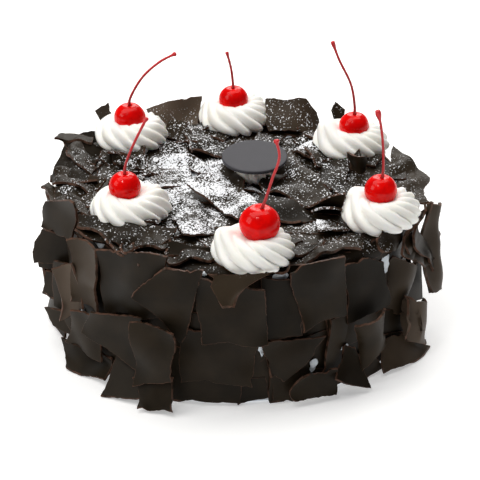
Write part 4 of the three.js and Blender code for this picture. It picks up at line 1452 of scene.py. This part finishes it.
@dataclass
class Sugar:
    """Icing sugar sifted over the top from above."""

    spots: tuple[SugarSpot, ...] = (
        SugarSpot(-30, 20, 34, 0.6), SugarSpot(-8, -22, 34, 0.6), SugarSpot(-38, -28, 26, 0.5),
        SugarSpot(18, 40, 40, 0.3), SugarSpot(40, -10, 34, 0.2), SugarSpot(60, -40, 24, 0.35),
    )
    # how much lies on each free sheet of the top
    sheets: Mapping[str, float] = field(default_factory=lambda: {
        "01": 0.08, "02": 0.0, "03": 0.03, "04": 0.36, "05": 0.3, "06": 0.3, "07": 0.95,
        "08": 0.06, "09": 0.08, "10": 0.6, "11": 0.1, "12": 0.24, "13": 0.54, "14": 1.25,
        "15": 0.02, "16": 0.2, "17": 0.9, "18": 0.85, "19": 0.0, "20": 0.05,
    })
    least: float = 0.05
    clump: float = 12 * MM
    shower: int = 2600
    grain: float = 0.34 * MM

    def cover(self, place: Vector, laid: float | None = None) -> float:
        """Share of an open, level surface that sugar covers.

        Args:
            place: Where.
            laid: How much lies on that sheet, None for what the spots say.

        Returns:
            The share, from 0 to 1.
        """
        total = laid
        if total is None:
            total = self.least
            for spot in self.spots:
                away = Vector((place.x / MM - spot.x, place.y / MM - spot.y)).length
                total += spot.cover * math.exp(-((away / spot.reach) ** 2))
        total *= 0.95 + 1.3 * noise.noise(place / self.clump)
        rim = max(0.0, 1 - max(0.0, place.xy.length - 92 * MM) / (20 * MM))
        return max(0.0, min(1.0, total)) * rim

    @staticmethod
    def shelter(pieces: Sequence[bpy.types.Object]) -> BVHTree:
        """Everything that catches sugar or keeps it off what is below."""
        points: list[Vector] = []
        faces: list[list[int]] = []
        for piece in pieces:
            start = len(points)
            points.extend(vert.co.copy() for vert in piece.data.vertices)
            faces.extend([start + index for index in face.vertices]
                         for face in piece.data.polygons)
        return BVHTree.FromPolygons(points, faces)

    def dust(self, pieces: Sequence[bpy.types.Object], shelter: BVHTree) -> None:
        """Writes on every vertex how much sugar lies there."""
        tries = [Vector((0.25 * math.cos(a), 0.25 * math.sin(a), 1)).normalized()
                 for a in (0.5, 2.6, 4.7)] + [Vector((0, 0, 1))]
        for piece in pieces:
            mesh = piece.data
            layer = mesh.attributes.new(SUGAR_LAYER, "FLOAT", "POINT")
            shares = [0.0] * len(mesh.vertices)
            laid = self.sheets.get(piece.name[-2:]) if "top_sheet" in piece.name else None
            for index, vert in enumerate(mesh.vertices):
                if vert.co.z < CORE_HEIGHT - 6 * MM or vert.normal.z < 0.1:
                    continue
                start = vert.co + vert.normal * 0.3 * MM + Vector((0, 0, 0.4 * MM))
                open_ways = sum(shelter.ray_cast(start, way)[0] is None for way in tries)
                # thick sugar fell before the sheets above it were laid
                bare = (open_ways / len(tries)) ** max(0.0, 1 - (laid or 0.0))
                shares[index] = self.cover(vert.co, laid) * bare
            layer.data.foreach_set("value", shares)

    def grains(self, shelter: BVHTree, sugar: bpy.types.Material) -> None:
        """Makes the loose grains that stand clear of the surface."""
        shape = bmesh.new()
        draw = Draw(5)
        above = 0.25
        for _grain in range(self.shower):
            distance = 100 * MM * math.sqrt(draw.share())
            angle = 2 * math.pi * draw.share()
            start = Vector((distance * math.cos(angle), distance * math.sin(angle), above))
            place, normal, _face, _far = shelter.ray_cast(start, Vector((0, 0, -1)))
            size = self.grain * (1 + draw.spread(0.4))
            keep = draw.share()
            if place is None or normal.z < 0.5 or place.z > CORE_HEIGHT + 22 * MM:
                continue
            if keep > self.cover(place):
                continue
            bmesh.ops.create_icosphere(shape, subdivisions=1, radius=size,
                                       matrix=Matrix.Translation(place + normal * size * 0.4))
        add_piece("sugar_grains", shape, sugar, Slot.BODY)


# --------------------------------------------------------------------------- studio


WARM = (1.0, 0.984, 0.95)


@dataclass(frozen=True)
class Softbox:
    """A lamp that looks at the cake."""

    name: str
    place: tuple[float, float, float]
    width: float
    depth: float
    power: float
    tint: tuple[float, float, float] = (1, 1, 1)


@dataclass
class Studio:
    """Camera, lamps and table."""

    elevation: float = 27.4
    distance: float = 1.2
    aim: tuple[float, float, float] = (2.3 * MM, 0, 50 * MM)
    lens: float = 157.4
    sky: float = 0.13
    lamps: tuple[Softbox, ...] = (
        Softbox("roof", (-0.10, 0.20, 1.35), 2.2, 0.9, 21.4, WARM),
        Softbox("key", (-1.25, -0.45, 0.80), 0.70, 0.70, 5.2, WARM),
        Softbox("back", (0.10, 1.30, 0.75), 1.00, 0.60, 8.2, WARM),
        Softbox("spark", (-0.28, -0.55, 1.05), 0.14, 0.14, 1.4),
    )

    def camera(self) -> None:
        """Makes the camera."""
        data = bpy.data.cameras.new("camera")
        data.lens = self.lens
        data.sensor_width = 36
        data.clip_start, data.clip_end = 0.05, 50
        camera = bpy.data.objects.new("camera", data)
        bpy.context.scene.collection.objects.link(camera)
        tilt = math.radians(self.elevation)
        back = Vector((0, -math.cos(tilt), math.sin(tilt)))
        camera.location = Vector(self.aim) + back * self.distance
        camera.rotation_euler = (-back).to_track_quat("-Z", "Y").to_euler()
        bpy.context.scene.camera = camera

    def light(self) -> None:
        """Makes the lamps and the sky, which is white where it shows."""
        for lamp in self.lamps:
            data = bpy.data.lights.new(lamp.name, "AREA")
            data.shape = "RECTANGLE"
            data.size, data.size_y = lamp.width, lamp.depth
            data.energy = lamp.power
            data.color = lamp.tint
            made = bpy.data.objects.new(lamp.name, data)
            bpy.context.scene.collection.objects.link(made)
            made.location = lamp.place
            look = Vector((0, 0, 0.06)) - Vector(lamp.place)
            made.rotation_euler = look.to_track_quat("-Z", "Y").to_euler()
        world = bpy.data.worlds.new("sky")
        bpy.context.scene.world = world
        world.use_nodes = True
        tree = world.node_tree
        tree.nodes.clear()
        seen, dim, white = (tree.nodes.new(kind) for kind in (
            "ShaderNodeLightPath", "ShaderNodeBackground", "ShaderNodeBackground"))
        mix, end = tree.nodes.new("ShaderNodeMixShader"), tree.nodes.new("ShaderNodeOutputWorld")
        dim.inputs["Strength"].default_value = self.sky
        white.inputs["Strength"].default_value = 1.0
        for background in (dim, white):
            background.inputs["Color"].default_value = (1, 1, 1, 1)
        tree.links.new(seen.outputs["Is Camera Ray"], mix.inputs[0])
        tree.links.new(dim.outputs[0], mix.inputs[1])
        tree.links.new(white.outputs[0], mix.inputs[2])
        tree.links.new(mix.outputs[0], end.inputs["Surface"])

    def table(self) -> None:
        """Makes the table."""
        shape = bmesh.new()
        bmesh.ops.create_circle(shape, cap_ends=True, segments=96, radius=4)
        mesh = bpy.data.meshes.new("table")
        shape.to_mesh(mesh)
        shape.free()
        mesh.materials.append(TableFinish().make())
        table = bpy.data.objects.new("table", mesh)
        bpy.context.scene.collection.objects.link(table)
        table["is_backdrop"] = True

    def build(self) -> None:
        """Sets up the studio."""
        self.camera()
        self.light()
        self.table()
        bpy.context.scene.view_settings.view_transform = "Standard"
        bpy.context.scene.view_settings.look = "None"


# --------------------------------------------------------------------------- the whole


def write_size() -> None:
    """Gathers the solids' box and the visual model's box; nothing is written."""
    boxes = {"cad": CAD_BOX, "visual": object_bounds()}
    {name: [list(low), list(high)] for name, (low, high) in boxes.items()}


def main() -> None:
    """Builds the cake and its studio."""
    logging.basicConfig(level=logging.INFO, format="%(name)s: %(message)s")
    Studio().build()
    chocolate = ChocolateFinish().make()
    piped = CreamFinish("piped_cream", (0.96, 0.955, 0.91, 1), (0.93, 0.915, 0.85, 1)).make()
    # painted shade: the cream of the core and the dabs gets a greyer, bluish copy of the piped
    # cream's colour, as cream looks in the shade of the gaps
    coat = CreamFinish("coating_cream", (0.74, 0.79, 0.84, 1), (0.66, 0.72, 0.78, 1), 0.1).make()
    toppings = Toppings()
    dusted = CakeBody().build(coat, chocolate, toppings.items)
    dusted += FreeSheets().build(chocolate)
    above = toppings.build(piped, CherryFinish().make(), StemFinish().make())
    above += Disc().build(toppings, DiscFinish().make(), piped)
    sugar = Sugar()
    shelter = sugar.shelter([*dusted, *above])
    sugar.dust(dusted, shelter)
    sugar.grains(sugar.shelter(dusted), SugarFinish().make())
    write_size()


if __name__ == "__main__":
    main()
